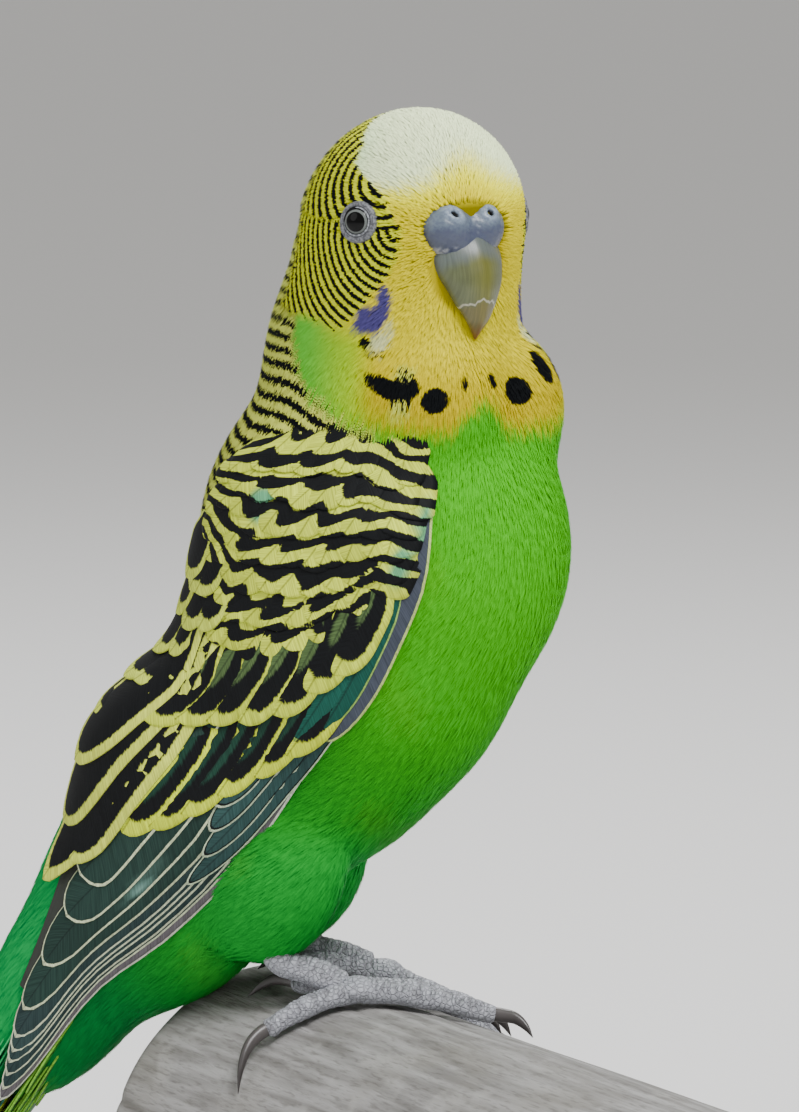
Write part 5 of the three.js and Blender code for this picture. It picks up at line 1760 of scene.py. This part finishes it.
def toe_line(side, toe, reach, lift):
    """Points over a toe's way: shares of its length and heights over the bark in millimetres."""
    start, run = toe_run(side, toe)
    beyond = np.maximum(reach - 1, 0) * math.hypot(*run) / CLAW_LENGTH
    aside = np.array([-run[1], run[0]]) / math.hypot(*run)
    way = start + reach[:, None] * run + (toe[2] * beyond ** 1.6)[:, None] * aside
    return over_perch(mm(1) * way[:, 0], mm(1) * way[:, 1], mm(1) * lift)


def toe_tube(side, toe, phase):
    reach = np.linspace(0, 1, int(math.hypot(*toe_run(side, toe)[1]) * 7))
    radius = TOE_RADIUS * (1.1 - 0.27 * reach)
    middle = toe_line(side, toe, reach, radius + SOLE_LIFT)
    over = toe_line(side, toe, reach, radius + SOLE_LIFT + 1)
    return scaly_tube(middle, radius, unit(over - middle), phase)


def claw_tube(side, toe):
    line = smooth_line(CLAW_STATIONS, CLAW_ROWS)
    middle = toe_line(side, toe, 1 + line[:, 0] / math.hypot(*toe_run(side, toe)[1]), line[:, 1])
    along = unit(np.gradient(middle, axis=0))
    across = unit(np.cross(along, UPWARD))
    above = np.cross(across, along)
    turn = circle(CLAW_SIDES)[None]
    wide = mm(1) * line[:, 2:3]
    grid = middle[:, None] + (across[:, None] * (0.82 * wide * np.cos(turn))[..., None]
                              + above[:, None] * (wide * np.sin(turn))[..., None])
    points, triangles = closed_tube(grid, middle[:1], middle[-1:])
    return points, triangles, {"far": np.append(np.repeat(line[:, 0], CLAW_SIDES), [0, CLAW_LENGTH])}


def palm_ball(side):
    turn = circle(PALM_SIDES)
    polar = np.linspace(0.06, math.pi - 0.06, PALM_ROWS)
    tall = PALM_SIZE[2]
    middle = over_perch(mm(PALM[0]), mm(PALM[1]) * side, tall + mm(SOLE_LIFT))
    ring = np.stack([np.sin(polar)[:, None] * np.cos(turn), np.sin(polar)[:, None] * np.sin(turn),
                     np.cos(polar)[:, None] * np.ones(PALM_SIDES)], axis=-1)
    knob = 1 + 0.035 * np.sin(ring[..., 0] * 9) * np.sin(ring[..., 1] * 9 + 1) * (ring[..., 2] > -0.4)
    points, triangles = closed_tube(middle + ring * PALM_SIZE * knob[..., None],
                                    (middle + UPWARD * tall)[None], (middle - UPWARD * tall)[None])
    return points, triangles, {"crack": np.zeros(len(points))}


def leg_tube(side):
    ankle = np.array([(x, y * side, z) for x, y, z in ANKLE])
    end = over_perch(mm(PALM[0] - 1.2), mm(PALM[1]) * side, mm(2.3)) * 1000
    line = smooth_line(np.vstack([ankle, end]), LEG_ROWS) * mm(1)
    return scaly_tube(line, np.linspace(1.75, 1.85, LEG_ROWS), np.broadcast_to(UPWARD, line.shape), 0.1)


def make_feet():
    skin, horn = leg_material(), claw_material()
    for name, (side, toes) in FEET.items():
        scaly, claws, leg = Bundle(), Bundle(), Bundle()
        for number, toe in enumerate(toes):
            scaly.add(*toe_tube(side, toe, 0.3 * number))
            claws.add(*claw_tube(side, toe))
        scaly.add(*palm_ball(side))
        leg.add(*leg_tube(side))
        piece(scaly.mesh(f"foot_skin_{name}"), skin, "leg_skin", f"foot_{name}")
        piece(claws.mesh(f"claws_{name}"), horn, "leg_skin", f"foot_{name}")
        piece(leg.mesh(f"leg_skin_{name}"), skin, "leg_skin", f"leg_{name}")


def leg_material():
    s = Shader("leg_skin", roughness=0.55, Specular_IOR_Level=0.35)
    place = s.place()
    cells = s.node("ShaderNodeTexVoronoi", feature="DISTANCE_TO_EDGE")
    s.link(place, cells.inputs["Vector"])
    cells.inputs["Scale"].default_value = 1500.0
    edges = s.step(0.0, 0.16, cells.outputs["Distance"])
    cloud = s.noise(place, 500.0, 3.0)
    crack = s.attribute("crack")
    tone = s.colour_mix(cloud, srgb(134, 136, 144), srgb(182, 184, 192))
    tone = s.colour_mix(s.times(s.step(1.0, 0.0, edges), 0.3), tone, srgb(104, 102, 108))
    s.colour(s.colour_mix(s.times(crack, 0.5), tone, srgb(66, 62, 64)))
    s.bump(s.minus(edges, crack), mm(0.16), 0.9)
    return s.material


def claw_material():
    s = Shader("claw", roughness=0.35, Specular_IOR_Level=0.45)
    lines = s.noise(s.place(), 1400.0, 2.0)
    far = s.attribute("far")
    tone = s.colour_mix(s.step(0.0, 4.5, far), srgb(72, 68, 68), srgb(34, 30, 30))
    s.colour(s.colour_mix(s.times(lines, 0.3), tone, srgb(92, 88, 86)))
    s.bump(lines, mm(0.04), 0.4)
    return s.material


# Stand: painted wood and brushed rods, on the solids' own meshes

def refinish(node, material):
    """Gives a solid that stays a better finish."""
    solid = bpy.data.objects[node]
    if not solid.material_slots:
        solid.data.materials.append(material)
    for slot in solid.material_slots:
        slot.material = material


def make_stand():
    paint = Shader("painted_wood", roughness=0.42, Specular_IOR_Level=0.4)
    place = paint.place()
    wear = paint.noise(place, 40.0, 4.0)
    brushed = paint.noise(place, 700.0, 2.0)
    paint.colour(paint.colour_mix(wear, srgb(212, 210, 204), srgb(226, 224, 219)))
    paint.bump(paint.plus(brushed, wear), mm(0.05), 0.5)
    refinish("stand_base", paint.material)
    steel = Shader("brushed_rod", roughness=0.32, Metallic=1.0)
    fine = steel.noise(steel.place(), 2400.0, 2.0)
    steel.colour(steel.colour_mix(fine, srgb(168, 168, 170), srgb(204, 204, 206)))
    steel.bump(fine, mm(0.02), 0.4)
    for node in ("stand_rod_1", "stand_rod_2"):
        refinish(node, steel.material)


make_camera()
make_lights()
make_floor()
coat = coat_material()
skin = skin_grid(-COAT_DEPTH)
make_skin(*skin, coat)
make_coat(*skin, coat)
vane = vane_material()
make_wings(vane)
make_tail(vane)
make_eyes()
make_cere()
make_bill()
make_perch()
make_feet()
make_stand()

bpy.context.view_layer.update()
